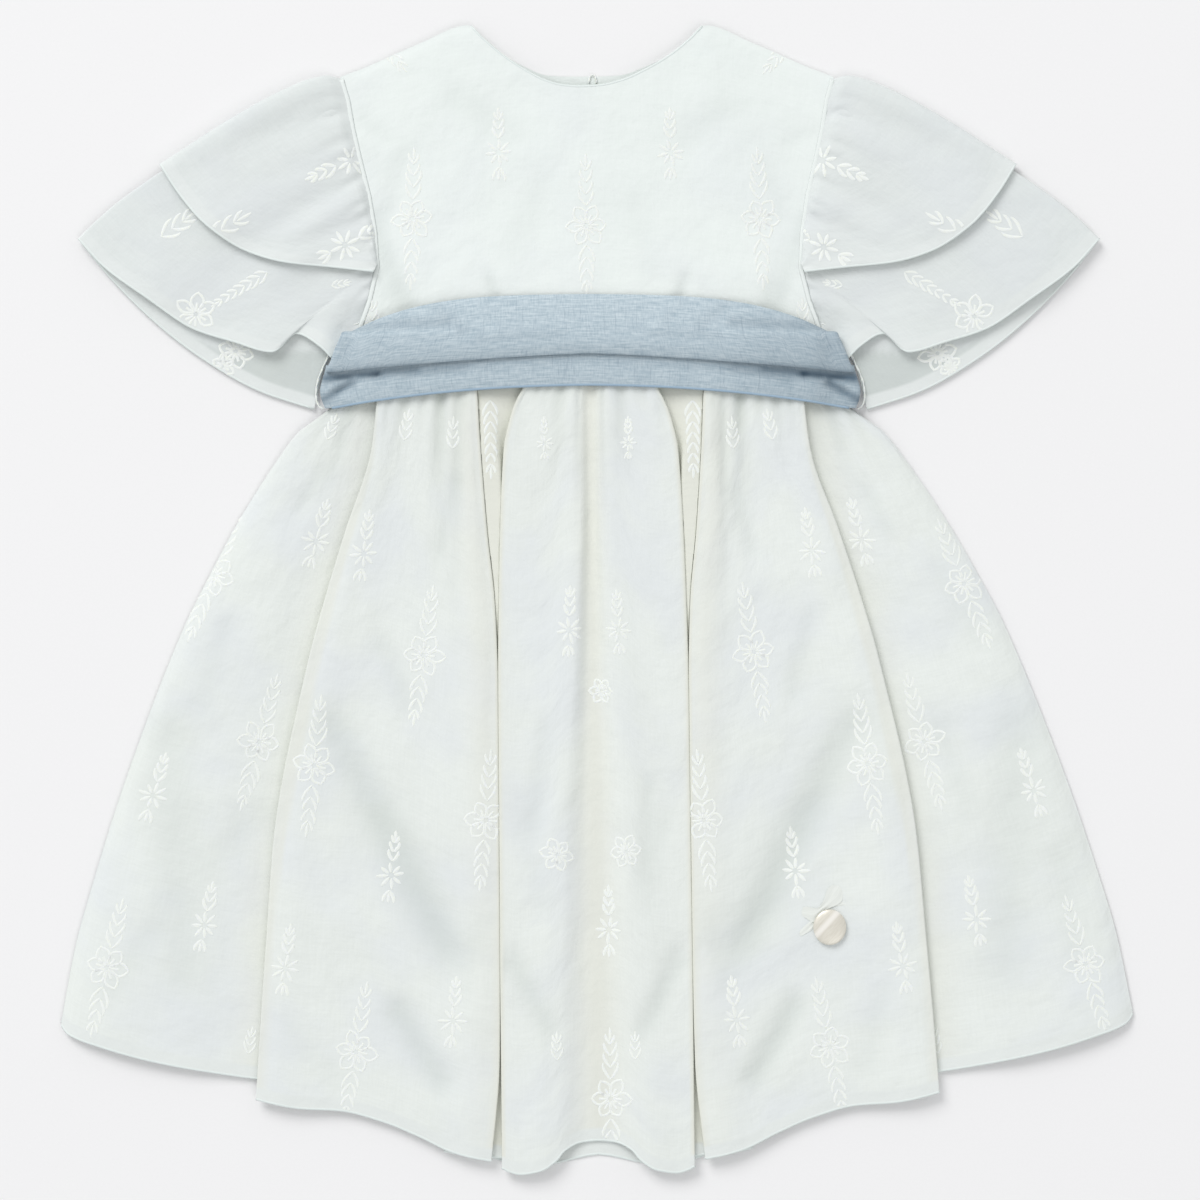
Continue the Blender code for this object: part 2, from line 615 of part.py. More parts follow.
def thread(name, path, radius, surface):
    """A round thread through a short list of places, with closed ends."""
    curve = bpy.data.curves.new(name, "CURVE")
    curve.dimensions = "3D"
    curve.bevel_depth = radius * MM
    curve.bevel_resolution = 1
    curve.use_fill_caps = True
    spline = curve.splines.new("POLY")
    places = []
    steps = 3
    for i in range(len(path) - 1):
        before = path[max(i - 1, 0)]
        start = path[i]
        end = path[i + 1]
        after = path[min(i + 2, len(path) - 1)]
        for j in range(steps):
            t = j / steps
            places.append(tuple(
                0.5 * (2 * b + (c - a) * t + (2 * a - 5 * b + 4 * c - d) * t ** 2
                       + (3 * b - a - 3 * c + d) * t ** 3)
                for a, b, c, d in zip(before, start, end, after)))
    places.append(path[-1])
    spline.points.add(len(places) - 1)
    for point, place in zip(spline.points, places):
        point.co = (*(value * MM for value in laid(place)), 1.0)
    curve.materials.append(surface)
    piece = bpy.data.objects.new(name, curve)
    bpy.context.collection.objects.link(piece)
    return piece


# Thread loop at each side seam, round the end of the sash
BELT_LOOP = [
    (106.4, 128.0, 3.0), (112.6, 126.2, 3.0), (117.4, 119.6, 3.0), (121.2, 111.6, 3.0), (125.0, 103.0, 3.0),
    (126.2, 96.0, 3.2), (125.3, 91.0, 3.4), (123.0, 88.9, 3.6),
]
LOOP_RADIUS = 0.5

# Button loop at the top of the back opening
NECK_LOOP = [(1.6, 236.6, 2.0), (2.2, 239.4, 2.0), (4.6, 241.3, 2.0), (7.0, 240.2, 2.0), (7.4, 237.2, 2.0)]

# Charm on the left of the skirt as it is worn: a domed disc that hangs from a small
# ribbon bow. The bow's outline starts below its right loop and runs round its knot.
CHARM_ACROSS = 0.594
CHARM_DOWN = 0.760
DISC_HALF_WIDTH = 7.6
DISC_HALF_HEIGHT = 8.2
DISC_THICK = 2.4
KNOT_LEFT = 3.1
KNOT_ABOVE = 8.8
BOW_THICK = 2.2
BOW_REACH = 10.0

# Size of the panel that the charm lies on, where the charm is
PANEL_WIDTH = 98.0
PANEL_LENGTH = 352.0
BowPoint = namedtuple("BowPoint", "x y")
BOW_OUTLINE = [
    BowPoint(1.6, -0.1), BowPoint(5.0, 1.2), BowPoint(8.6, 2.2), BowPoint(12.6, 1.2), BowPoint(11.2, 3.6),
    BowPoint(10.2, 5.6), BowPoint(9.6, 8.6), BowPoint(7.6, 9.8), BowPoint(5.0, 8.6), BowPoint(2.6, 5.2),
    BowPoint(0.4, 1.7), BowPoint(-1.4, 0.8), BowPoint(-4.4, 0.9), BowPoint(-7.9, 0.6), BowPoint(-9.0, -2.8),
    BowPoint(-9.2, -6.4), BowPoint(-6.6, -5.6), BowPoint(-4.2, -4.4), BowPoint(-1.7, -1.5),
]


def resting_height(offset_x, offset_y, reach):
    """Top face of the panel at its highest near a place given from the middle of the charm."""
    highest = 0.0
    for i in range(-4, 5):
        for j in range(-4, 5):
            across = CHARM_ACROSS + (offset_x + reach * i / 4) / PANEL_WIDTH
            down = CHARM_DOWN - (offset_y + reach * j / 4) / PANEL_LENGTH
            highest = max(highest, panel_point(across, down)[2])
    return highest + HALF


def turned(name, outline, profile, centre, surface):
    """A closed solid whose outline is scaled and raised by the steps of a short profile."""
    count = len(outline)
    verts = [(centre[0] + x * scale, centre[1] + y * scale, centre[2] + z) for scale, z in profile
             for x, y in outline]
    faces = [tuple(reversed(range(count)))]
    for ring in range(len(profile) - 1):
        for i in range(count):
            here = ring * count + i
            beside = ring * count + (i + 1) % count
            faces.append((here, beside, beside + count, here + count))
    faces.append(tuple(range((len(profile) - 1) * count, len(profile) * count)))
    return place_mesh(name, verts, faces, surface)


def build():
    for piece in list(bpy.data.objects):
        bpy.data.objects.remove(piece, do_unlink=True)
    voile = material("lined_voile", (0.83, 0.86, 0.83), 0.85)
    sheer = material("sheer_voile", (0.76, 0.80, 0.79), 0.85)
    linen = material("blue_linen", (0.44, 0.53, 0.61), 0.9)
    white_thread = material("white_thread", (0.88, 0.89, 0.87), 0.7)
    satin = material("ivory_satin", (0.88, 0.86, 0.78), 0.4)
    pearl = material("pale_metal", (0.83, 0.78, 0.66), 0.35, 0.6)

    cloth("skirt_front", [skirt_front_row(down) for down in SKIRT_DOWN], WALL, voile)
    cloth("skirt_back", [skirt_back_row(down) for down in SKIRT_DOWN], WALL, voile)
    cloth("bodice_front", bodice_front_rows(), WALL, voile)
    back_half = bodice_back_rows()
    cloth("bodice_back_right", back_half, WALL, voile)
    cloth("bodice_back_left", [list(reversed(mirrored(row))) for row in back_half], WALL, voile)
    sleeves = {"upper": (UPPER_FRONT, UPPER_BACK), "lower": (LOWER_FRONT, LOWER_BACK)}
    for name, (front, back) in sleeves.items():
        rows = flutter_rows(name, front, back)
        cloth("sleeve_" + name + "_right", rows, SHEER_WALL, sheer)
        other = [list(reversed(mirrored(row))) for row in rows]
        cloth("sleeve_" + name + "_left", other, SHEER_WALL, sheer)
    cloth("sash", sash_rows(), WALL, linen, ring=True)
    thread("belt_loop_right", BELT_LOOP, LOOP_RADIUS, white_thread)
    thread("belt_loop_left", mirrored(BELT_LOOP), LOOP_RADIUS, white_thread)
    thread("neck_loop", NECK_LOOP, LOOP_RADIUS, white_thread)

    charm_x, charm_y, _ = panel_point(CHARM_ACROSS, CHARM_DOWN)
    disc_base = resting_height(0.0, 0.0, DISC_HALF_HEIGHT) + GAP
    oval = [(DISC_HALF_WIDTH * math.cos(math.tau * i / 20), DISC_HALF_HEIGHT * math.sin(math.tau * i / 20))
            for i in range(20)]
    dome = [(0.9, 0.0), (1.0, 0.4), (1.0, 0.9), (0.93, 1.4), (0.75, 1.9), (0.45, DISC_THICK)]
    turned("charm_disc", oval, dome, (charm_x, charm_y, disc_base), pearl)
    pillow = [(0.9, 0.0), (1.0, 0.5), (1.0, 1.4), (0.85, BOW_THICK)]
    bow_base = resting_height(-KNOT_LEFT, KNOT_ABOVE, BOW_REACH) + GAP
    turned("charm_bow", BOW_OUTLINE, pillow, (charm_x - KNOT_LEFT, charm_y + KNOT_ABOVE, bow_base), satin)


build()
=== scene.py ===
"""A small child's short-sleeved dress of white embroidered voile, laid flat on its back."""

import math
import random
from collections import namedtuple

import bpy
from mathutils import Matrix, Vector
from mathutils.bvhtree import BVHTree
from mathutils.geometry import barycentric_transform


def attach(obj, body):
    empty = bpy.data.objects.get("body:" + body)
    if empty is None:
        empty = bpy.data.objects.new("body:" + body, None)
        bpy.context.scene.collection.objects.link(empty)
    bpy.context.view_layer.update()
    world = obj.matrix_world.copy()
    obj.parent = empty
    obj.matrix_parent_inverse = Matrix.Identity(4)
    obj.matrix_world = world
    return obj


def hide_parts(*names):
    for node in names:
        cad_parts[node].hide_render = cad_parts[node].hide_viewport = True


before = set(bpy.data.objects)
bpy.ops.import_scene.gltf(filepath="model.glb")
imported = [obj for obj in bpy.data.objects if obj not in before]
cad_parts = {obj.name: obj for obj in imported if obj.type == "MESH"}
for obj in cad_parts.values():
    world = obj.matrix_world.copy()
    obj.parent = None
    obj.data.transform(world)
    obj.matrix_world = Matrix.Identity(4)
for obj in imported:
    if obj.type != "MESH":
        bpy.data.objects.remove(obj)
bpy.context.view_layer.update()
bpy.context.scene.view_settings.view_transform = "Standard"

# The table and its light: a plain pale card under the dress, one wide soft lamp above the
# neck end, a weaker one from the hem side, and the camera straight above.
MM = 0.001
TABLE_WIDTH = 8.0
CAMERA_HEIGHT = 2.2
PICTURE_WIDTH = 0.552
MIDDLE_X = 2.03
MIDDLE_Y = 0.21
CAMERA_X = 1.42
CAMERA_Y = -0.44
DRESS_MIDDLE = 0.004


def from_hex(code):
    """A linear colour from its sRGB hex value."""
    parts = []
    for i in (0, 2, 4):
        value = int(code[i:i + 2], 16) / 255.0
        parts.append(value / 12.92 if value <= 0.04045 else ((value + 0.055) / 1.055) ** 2.4)
    return (*parts, 1.0)


def add_node(surface, kind, settings=None, links=None):
    """One node of a material, with its settings, and its inputs set or joined to outputs."""
    node = surface.node_tree.nodes.new(kind)
    for key, value in (settings or {}).items():
        setattr(node, key, value)
    for key, value in (links or {}).items():
        if isinstance(value, bpy.types.NodeSocket):
            surface.node_tree.links.new(value, node.inputs[key])
        else:
            node.inputs[key].default_value = value
    return node


def start_material(name, roughness, settings=None):
    """A new material, with its shader's even inputs set."""
    surface = bpy.data.materials.new(name)
    surface.use_nodes = True
    inputs = surface.node_tree.nodes["Principled BSDF"].inputs
    for key, value in {"Roughness": roughness, **(settings or {})}.items():
        inputs[key].default_value = value
    return surface


def to_shader(surface, colour, normal=None):
    """Joins a colour, and the normal of its relief, to the material's shader."""
    inputs = surface.node_tree.nodes["Principled BSDF"].inputs
    surface.node_tree.links.new(colour, inputs["Base Color"])
    if normal:
        surface.node_tree.links.new(normal, inputs["Normal"])


def object_place(surface):
    return add_node(surface, "ShaderNodeTexCoord").outputs["Object"]


def noise(surface, place, scale, detail, settings=None, **links):
    return add_node(surface, "ShaderNodeTexNoise", settings, {
        "Vector": place, "Scale": scale, "Detail": detail, **links}).outputs["Fac"]


def mixed(surface, factor, start, end):
    """A mix of two colours, each an sRGB hex value or what another node gives."""
    start, end = (from_hex(colour) if isinstance(colour, str) else colour for colour in (start, end))
    return add_node(surface, "ShaderNodeMix", {"data_type": "RGBA"}, {
        "Factor": factor, "A": start, "B": end}).outputs["Result"]


def deselect():
    for piece in bpy.context.selected_objects:
        piece.select_set(False)


deselect()
bpy.ops.mesh.primitive_plane_add(size=TABLE_WIDTH, location=(0.0, 0.0, 0.0))
table = bpy.context.object
table.name = "table"
# Matt card, its fine tooth just under what the camera resolves
card = start_material("matt_card", 0.9)
tooth = noise(card, object_place(card), 900.0, 2.0)
to_shader(card, mixed(card, tooth, "f0efef", "f3f2f2"))
table.data.materials.append(card)


def lamp(name, place, aim, size, power):
    light = bpy.data.lights.new(name, "AREA")
    light.shape = "DISK"
    light.size = size
    light.energy = power
    holder = bpy.data.objects.new(name, light)
    holder.location = place
    holder.rotation_euler = (Vector(aim) - Vector(place)).to_track_quat("-Z", "Y").to_euler()
    bpy.context.scene.collection.objects.link(holder)


lamp("neck_lamp", (-3.4, 5.4, 5.2), (0.0, 0.0, 0.0), 4.6, 344.0)
lamp("hem_lamp", (2.4, -4.8, 6.6), (0.0, 0.0, 0.0), 6.0, 100.0)
room = bpy.data.worlds.new("room")
bpy.context.scene.world = room
room.use_nodes = True
room.node_tree.nodes["Background"].inputs["Color"].default_value = (0.97, 0.985, 1.0, 1.0)
room.node_tree.nodes["Background"].inputs["Strength"].default_value = 0.63

lens = bpy.data.cameras.new("camera")
lens.angle = 2.0 * math.atan(PICTURE_WIDTH / 2.0 / CAMERA_HEIGHT)
camera = bpy.data.objects.new("camera", lens)
camera.location = (CAMERA_X * MM, CAMERA_Y * MM, CAMERA_HEIGHT + DRESS_MIDDLE)
bpy.context.scene.collection.objects.link(camera)
bpy.context.scene.camera = camera

# Skirt front: one width of cotton voile on a cotton lining, with an inverted pleat on each
# side of its middle and one at each side, gathered into the waist seam. Every place is
# worked out on the straight garment in millimetres, and laid() swings it as it lies.
WALL = 0.55
BACK_LEVEL = 0.6
FRONT_LEVEL = 2.1
LAYER_STEP = 1.5
SEAM_ROOM = 0.6
SASH_LIFT = 1.5
LIFT_LOW = 48.0
LIFT_HIGH = 176.0
LIFT_FADE = 38.0
ASKEW = 0.0105
SWING_FROM = -20.0
SWING_OVER = 120.0
WAIST_CENTRE = 116.0
WAIST_DROP = 12.0
WAIST_HALF = 119.0
HANDS = {1: "right", -1: "left"}


def named(kind, rows):
    """A table's rows, each with its columns named."""
    return [kind(*row) for row in rows]


def clamp(value):
    return min(max(value, 0.0), 1.0)


def ease(value):
    share = clamp(value)
    return share * share * (3.0 - 2.0 * share)


def mix(start, end, share):
    return start + (end - start) * share


def bump(offset, half_width):
    """A soft rounded ridge of height 1 at offset 0."""
    return math.exp(-(offset / half_width) ** 2)


def even(start, end, count):
    """Evenly spaced shares, with both ends."""
    return [mix(start, end, i / (count - 1)) for i in range(count)]


def read(rows, key, column, place):
    """One column of a table at a place along its key column, eased through the rows."""
    keys = [getattr(row, key) for row in rows]
    values = [getattr(row, column) for row in rows]
    last = len(keys) - 1
    place = min(max(place, keys[0]), keys[last])
    first = 0
    while first < last - 1 and place > keys[first + 1]:
        first += 1

    def rise(i):
        return (values[i + 1] - values[i]) / (keys[i + 1] - keys[i])

    def slope(i):
        if i == 0:
            return 0.0 if key == "x" and keys[0] == 0.0 else rise(0)
        if i == last:
            return rise(last - 1)
        if rise(i - 1) * rise(i) <= 0.0:
            return 0.0
        return 2.0 * rise(i - 1) * rise(i) / (rise(i - 1) + rise(i))

    step = keys[first + 1] - keys[first]
    t = (place - keys[first]) / step
    start = (2 * t ** 3 - 3 * t ** 2 + 1) * values[first] + (t ** 3 - 2 * t ** 2 + t) * step * slope(first)
    end = (3 * t ** 2 - 2 * t ** 3) * values[first + 1] + (t ** 3 - t ** 2) * step * slope(first + 1)
    return start + end


def seam_turn(share):
    """How far the cloth turns up or down to its side seam, by share of the half width."""
    return 0.75 * ease((share - 0.965) / 0.035) ** 2


def waist(x):
    return WAIST_CENTRE - WAIST_DROP * (x / WAIST_HALF) ** 2


def lift(y):
    """How far the cloth is raised where the back stretch of the sash runs beneath it."""
    return SASH_LIFT * (ease((y - LIFT_LOW) / LIFT_FADE) - ease((y - LIFT_HIGH + LIFT_FADE) / LIFT_FADE))


def laid(point):
    """From a place on the straight garment, in millimetres, to where it lies, in metres."""
    x, y, z = point
    swung = 1.0 - ease((y - SWING_FROM) / SWING_OVER)
    swing = ASKEW * (x * swung - abs(x) * (1.0 - swung))
    return ((x - ASKEW * y - MIDDLE_X) * MM, (y + swing - MIDDLE_Y) * MM, z * MM)


def mirrored(points):
    return [(-x, y, z) for x, y, z in points]


def whole(right, left):
    """A full row from its halves, each given from the middle outwards as on the right."""
    return mirrored(left[:0:-1]) + right


def turn(edge, start, end, outward, steps):
    """Points of a pressed fold whose outer face stands at x = edge, from one height to
    another, furthest out near its start."""
    radius = abs(start - end) / 2
    centre = edge - outward * (radius + WALL / 2)
    points = []
    for i in range(steps + 1):
        angle = math.pi * i / steps
        height = mix(start, end, ((1.0 - math.cos(angle)) / 2) ** 2.6)
        points.append((centre + outward * radius * math.sin(angle), height))
    return points


def travel(points):
    """How far along a line of points each of them lies."""
    along = [0.0]
    for start, end in zip(points, points[1:]):
        along.append(along[-1] + math.dist(start, end))
    return along


CUT_EDGE_ANGLE = 65.0


def cut_cloth(name, rows, wall, finish, ring=False, shades=None):
    """A sheet of cloth through rows of places that run from its hem up. Its UV map is in metres of cloth,
    with v counted from the hem. Its shade attributes are painted: a cream tint in recesses, partly the
    lining's own tone and partly painted shade, and a darker tint in creases, hollows and under other parts,
    which is painted shade."""
    across = len(rows[0])
    deselect()
    bpy.ops.mesh.primitive_grid_add(x_subdivisions=across - 1, y_subdivisions=len(rows) - 1, size=1.0)
    piece = bpy.context.object
    piece.name = name
    mesh = piece.data
    places = [laid(point) for row in rows for point in row]
    mesh.vertices.foreach_set("co", [value for place in places for value in place])
    for shade_name, amount in (shades or {}).items():
        shade = mesh.attributes.new(shade_name, "FLOAT", "POINT")
        shade.data.foreach_set("value", [clamp(amount(x, y)) for row in rows for x, y, _ in row])
    middle = travel(rows[len(rows) // 2])
    centre = middle[len(middle) // 2]
    columns = [travel([row[c] for row in rows]) for c in range(across)]
    chart = mesh.uv_layers[0]
    chart.name = "cloth"
    for loop in mesh.loops:
        r, c = divmod(loop.vertex_index, across)
        chart.data[loop.index].uv = ((middle[c] - centre) * MM, columns[c][r] * MM)
    if ring:
        bpy.ops.object.mode_set(mode="EDIT")
        bpy.ops.mesh.select_all(action="SELECT")
        bpy.ops.mesh.remove_doubles(threshold=0.00001)
        bpy.ops.object.mode_set(mode="OBJECT")
    solid = piece.modifiers.new("cloth", "SOLIDIFY")
    solid.thickness = wall * MM
    solid.offset = 0.0
    bpy.ops.object.modifier_apply(modifier=solid.name)
    bpy.ops.object.shade_smooth_by_angle(angle=math.radians(CUT_EDGE_ANGLE))
    mesh.materials.append(finish)
    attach(piece, "root")
    return piece


def strip(parts, path, normals, widths, height, sides=4):
    """Adds a flattened closed thread along a path, lying on what the normals stand on."""
    verts, faces = parts
    base = len(verts)
    count = len(path)
    for i in range(count):
        ahead = Vector(path[min(i + 1, count - 1)]) - Vector(path[max(i - 1, 0)])
        up = Vector(normals[i])
        side = ahead.cross(up)
        side = side.normalized() if side.length > 1e-9 else Vector((1.0, 0.0, 0.0))
        for j in range(sides):
            angle = math.tau * j / sides
            reach = side * (math.cos(angle) * widths[i] / 2) + up * (math.sin(angle) * height / 2)
            verts.append(tuple(Vector(path[i]) + reach))
    for i in range(count - 1):
        for j in range(sides):
            here = base + i * sides + j
            beside = base + i * sides + (j + 1) % sides
            faces.append((here, here + sides, beside + sides, beside))
    faces.append(tuple(base + j for j in range(sides)))
    faces.append(tuple(base + (count - 1) * sides + j for j in reversed(range(sides))))


def joined(name, parts, finish, smooth=True):
    """One mesh out of all the threads that were added to it."""
    verts, faces = parts
    mesh = bpy.data.meshes.new(name)
    mesh.from_pydata([laid(point) for point in verts], [], faces)
    mesh.polygons.foreach_set("use_smooth", [smooth] * len(mesh.polygons))
    mesh.materials.append(finish)
    piece = bpy.data.objects.new(name, mesh)
    bpy.context.scene.collection.objects.link(piece)
    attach(piece, "root")
    return piece


def hem_bead(name, edge, finish, width=1.4, height=0.8):
    """The narrow rolled hem along an edge of the cloth."""
    parts = ([], [])
    strip(parts, edge, [(0.0, 0.0, 1.0)] * len(edge), [width] * len(edge), height, 6)
    return joined(name, parts, finish)


# Cotton voile: dry, matt, a little open. Its threads stand 0.35 mm apart, drawn 0.9 mm
# apart so that they show, with uneven thicker ones, and its cut edge lets light through.
VOILE_THREAD = 0.9
SLUB_LENGTH = 14.0
COOL_WHITE = "e5e9ec"
# Colours of painted shade: cream in recesses, partly the lining's own tone, and grey in creases and
# hollows.
CREAM_TINT_AND_SHADE = "e8e9df"
PAINTED_SHADE_GREY = "bcc5bf"
CRUMPLE = 0.003
WRINKLE = 0.0013


def cloth_place(surface):
    return add_node(surface, "ShaderNodeUVMap", {"uv_map": "cloth"}).outputs["UV"]


def mapped(surface, place, scale, **settings):
    return add_node(surface, "ShaderNodeMapping", links={
        "Vector": place, "Scale": scale, **settings}).outputs["Vector"]


def sum_of(surface, operation, *values):
    return add_node(
        surface, "ShaderNodeMath", {"operation": operation}, dict(enumerate(values))).outputs["Value"]


def ranged(surface, value, source, target=(0.0, 1.0), kind="LINEAR"):
    """A value carried over from one range to another."""
    return add_node(surface, "ShaderNodeMapRange", {"interpolation_type": kind}, {
        "Value": value, "From Min": source[0], "From Max": source[1],
        "To Min": target[0], "To Max": target[1]}).outputs["Result"]


def relief(surface, strength, depth, height, **links):
    return add_node(surface, "ShaderNodeBump", links={
        "Strength": strength, "Distance": depth, "Height": height, **links}).outputs["Normal"]


def voile(name, light, dark, alpha, hem_shade, patches):
    surface = start_material(name, 0.88, {
        "Sheen Weight": 0.12, "Sheen Roughness": 0.6, "Specular IOR Level": 0.25, "Alpha": alpha})
    place = cloth_place(surface)
    flat = {"noise_dimensions": "2D"}
    slubs = []
    for fine, long in ((VOILE_THREAD, SLUB_LENGTH), (SLUB_LENGTH, VOILE_THREAD)):
        drawn = mapped(surface, place, (1.0 / (fine * MM), 1.0 / (long * MM), 1.0))
        slubs.append(noise(surface, drawn, 1.0, 2.0, flat))
    woven = sum_of(surface, "ADD", *slubs)
    threads = ranged(surface, woven, (0.75, 1.25), (0.2, 0.45))
    share = add_node(surface, "ShaderNodeMath", {"operation": "MULTIPLY_ADD", "use_clamp": True}, {
        0: noise(surface, place, 24.0, 3.0, flat), 1: 0.5, 2: threads}).outputs["Value"]
    tint = mixed(surface, share, dark, light)
    # Cooler and warmer patches, as the cloth lies nearer to or farther from the lining
    cool = ranged(surface, noise(surface, place, 21.0, 6.0, flat), (0.42, 0.66), (0.0, patches))
    tint = mixed(surface, cool, tint, COOL_WHITE)
    # Painted shade: each cloth's two shade attributes draw it cream in its recesses, partly the lining's
    # own tone, and greyer in its creases and gathers, where shade falls.
    for shade, colour in (("cream_tint_and_painted_shade", CREAM_TINT_AND_SHADE), ("painted_shade", PAINTED_SHADE_GREY)):
        amount = add_node(surface, "ShaderNodeAttribute", {"attribute_name": shade}).outputs["Fac"]
        tint = mixed(surface, amount, tint, colour)
    height = add_node(surface, "ShaderNodeSeparateXYZ", links={"Vector": place}).outputs["Y"]
    turned_up = ranged(surface, height, (0.0044, 0.0064), (1.0, 0.0), "SMOOTHSTEP")
    # The weave, and over it the small crumples of cloth that has been washed
    weave = relief(surface, 0.16, 0.0002, woven)
    crumple = relief(surface, 0.6, CRUMPLE, noise(surface, place, 38.0, 5.0, flat), Normal=weave)
    ridged = {**flat, "noise_type": "RIDGED_MULTIFRACTAL"}
    wrinkles = noise(surface, place, 13.0, 3.0, ridged, Distortion=0.4)
    to_shader(surface, mixed(surface, turned_up, tint, hem_shade),
              relief(surface, 0.5, WRINKLE, wrinkles, Normal=crumple))
    return surface


lined_voile = voile("cotton_voile_on_lining", "f0f4f0", "e5e9e4", 0.95, "e8ece9", 0.55)
bodice_voile = voile("cotton_voile_bodice", "f0f5f2", "e9efeb", 0.97, "ecf1ee", 0.2)
hem_voile = voile("rolled_voile_hem", "f1f6f3", "eaf0ed", 0.92, "ecf3f0", 0.2)

SkirtRow = namedtuple(
    "SkirtRow", "down valley centre pleat fold side centre_tuck pleat_tuck fold_tuck roll")
SKIRT_ROWS = named(SkirtRow, [
    (0, 1.4, 28, 53, 97, 118.7, 7, 6, 6, 2.3),
    (0.045, 1.4, 31, 52, 98.3, 118.8, 8, 7, 7, 2.5),
    (0.062, 1.5, 34.4, 51.6, 98.8, 124.2, 9, 7.5, 8, 2.6),
    (0.085, 1.7, 37.3, 51.3, 99.6, 134, 10, 8, 9, 2.7),
    (0.12, 2.2, 40.1, 50.6, 101.5, 142.3, 12, 10, 11, 2.8),
    (0.22, 3.9, 42.2, 48, 113, 161.8, 16, 14, 15, 2.8),
    (0.31, 5.5, 43.2, 44.8, 122.5, 176.5, 18, 16, 17.5, 2.8),
    (0.4, 7.1, 43.8, 43.85, 131, 189.8, 20, 18, 20, 2.8),
    (0.64, 12, 44.1, 44.12, 147.6, 217.4, 21, 21, 23, 2.5),
    (0.78, 13.4, 44.3, 44.35, 151.6, 230.9, 21, 21.6, 24.2, 2.2),
    (0.88, 14.3, 44.3, 44.9, 154.3, 239.5, 21, 22, 25, 1.9),
    (1, 15.2, 44.4, 49, 157.2, 246.6, 21, 22, 25, 1.6),
])
TOP_ROW = SKIRT_ROWS[0]
HEM_ROW = SKIRT_ROWS[-1]
HemPoint = namedtuple("HemPoint", "x y")
CENTRE_HEM = named(HemPoint, [
    (0, -248.7), (8.4, -249.5), (15.8, -253.1), (19.5, -257.5), (27, -262.2), (36, -263.6), (44.4, -261.1),
])
UNDER_HEM = named(HemPoint, [
    (20, -258), (47, -256), (75, -248),
])
PANEL_HEM = named(HemPoint, [
    (47, -257.4), (54.4, -256.4), (67.3, -253), (81.9, -246), (100.3, -238.4), (118.6, -233.6),
    (137, -232.3), (157.2, -228.1),
])
SIDE_HEM = named(HemPoint, [
    (130, -221.5), (157.1, -218.6), (182.8, -214.5), (205.8, -209.7), (228.7, -203), (243.3, -197.2),
    (246.6, -193),
])
EDGE_HEM = {"centre": -261.1, "pleat": -257.3, "fold": -228.1}
TUCK_HEM = {"centre": -259.0, "pleat": -253.0, "fold": -224.0}
VALLEY_TOP_DEPTH = 2.0
VALLEY_DEPTH = 3.2
RIDGE = 0.9
PLEAT_PUFF = 3.4
PLEAT_OVERLAP = 0.12
Crown = namedtuple("Crown", "share rise")
PANEL_CROWN = named(Crown, [
    (0, 0), (0.07, 0.7), (0.2, -0.4), (0.4, -1.4), (0.6, -1.4), (0.78, -0.5), (0.92, 0.6), (1, 0),
])
SIDE_CROWN = named(Crown, [
    (0, 0), (0.15, 0.6), (0.4, 2.6), (0.7, 3.2), (0.9, 2.2), (1, 0),
])

# Gathers that start at the waist seam, and creases. Side is 1 on the right, -1 on the
# left and 0 on both.
Gather = namedtuple("Gather", "side x end_x length depth half_width")
GATHERS = named(Gather, [
    (0, 12.5, 17, 70, 1.5, 3.5), (0, 68, 71, 84, 2.4, 3.4), (0, 60.5, 63, 170, 1.3, 3),
    (0, 83, 90, 52, 1.7, 3), (0, 106, 124, 70, 1.6, 3.5), (0, 24, 25, 34, 1.7, 1.7),
    (0, 5.2, 6, 110, 1, 1.6), (-1, 57.5, 57, 38, 1.2, 1.8), (1, 56.5, 56.5, 48, 1.3, 2),
    (-1, 75.5, 79, 40, 1.4, 2), (1, 76.5, 80, 46, 1.3, 2.2), (-1, 91, 97, 50, 1.4, 2.4),
    (1, 89.5, 95, 42, 1.4, 2.2), (-1, 31, 32, 46, 1.1, 2.2), (1, 32.5, 33, 54, 1.1, 2.4),
    (-1, 18.5, 21.5, 40, 1.2, 1.8), (1, 19, 23, 34, 1.2, 1.8), (-1, 112, 134, 46, 1.2, 2.5),
    (1, 111, 136, 52, 1.2, 2.5), (-1, 99, 108, 90, 0.9, 4), (1, 101, 110, 78, 0.9, 4),
])
Crease = namedtuple("Crease", "side x y end_x end_y depth half_width")
SKIRT_CREASES = named(Crease, [
    (0, 119, -58, 67, -162, 1.7, 8.5), (0, 98, -100, 72, -152, 0.8, 11), (0, 91, -189, 72, -221, 2, 6),
    (0, 52, -150, 60, -176, 0.6, 6), (0, 38, -166, 22, -198, 1.5, 5), (0, 33, -98, 24, -140, 0.6, 6),
    (0, 196, -60, 188, -170, 1.1, 12), (-1, 63, 55, 70, 20, 0.9, 4), (1, 66, 50, 74, 22, 0.9, 4),
    (-1, 122, 60, 134, 44, 0.8, 4), (1, 126, 52, 137, 30, 0.8, 4), (-1, 150, -95, 176, -120, 0.6, 6),
    (1, 158, -60, 172, -98, 0.7, 6), (-1, 205, -150, 221, -176, 0.7, 7), (1, 214, -120, 222, -168, 0.7, 7),
    (-1, 96, -20, 84, -48, 0.8, 5), (1, 100, -8, 92, -44, 0.7, 5), (-1, 22, -60, 27, -105, 0.7, 4.5),
    (1, 26, -84, 22, -128, 0.7, 4.5), (-1, 140, -196, 118, -222, 0.5, 6), (1, 132, -184, 124, -214, 0.6, 6),
    (-1, 168, -10, 180, -44, 0.6, 6), (1, 160, 12, 178, -20, 0.6, 6),
])


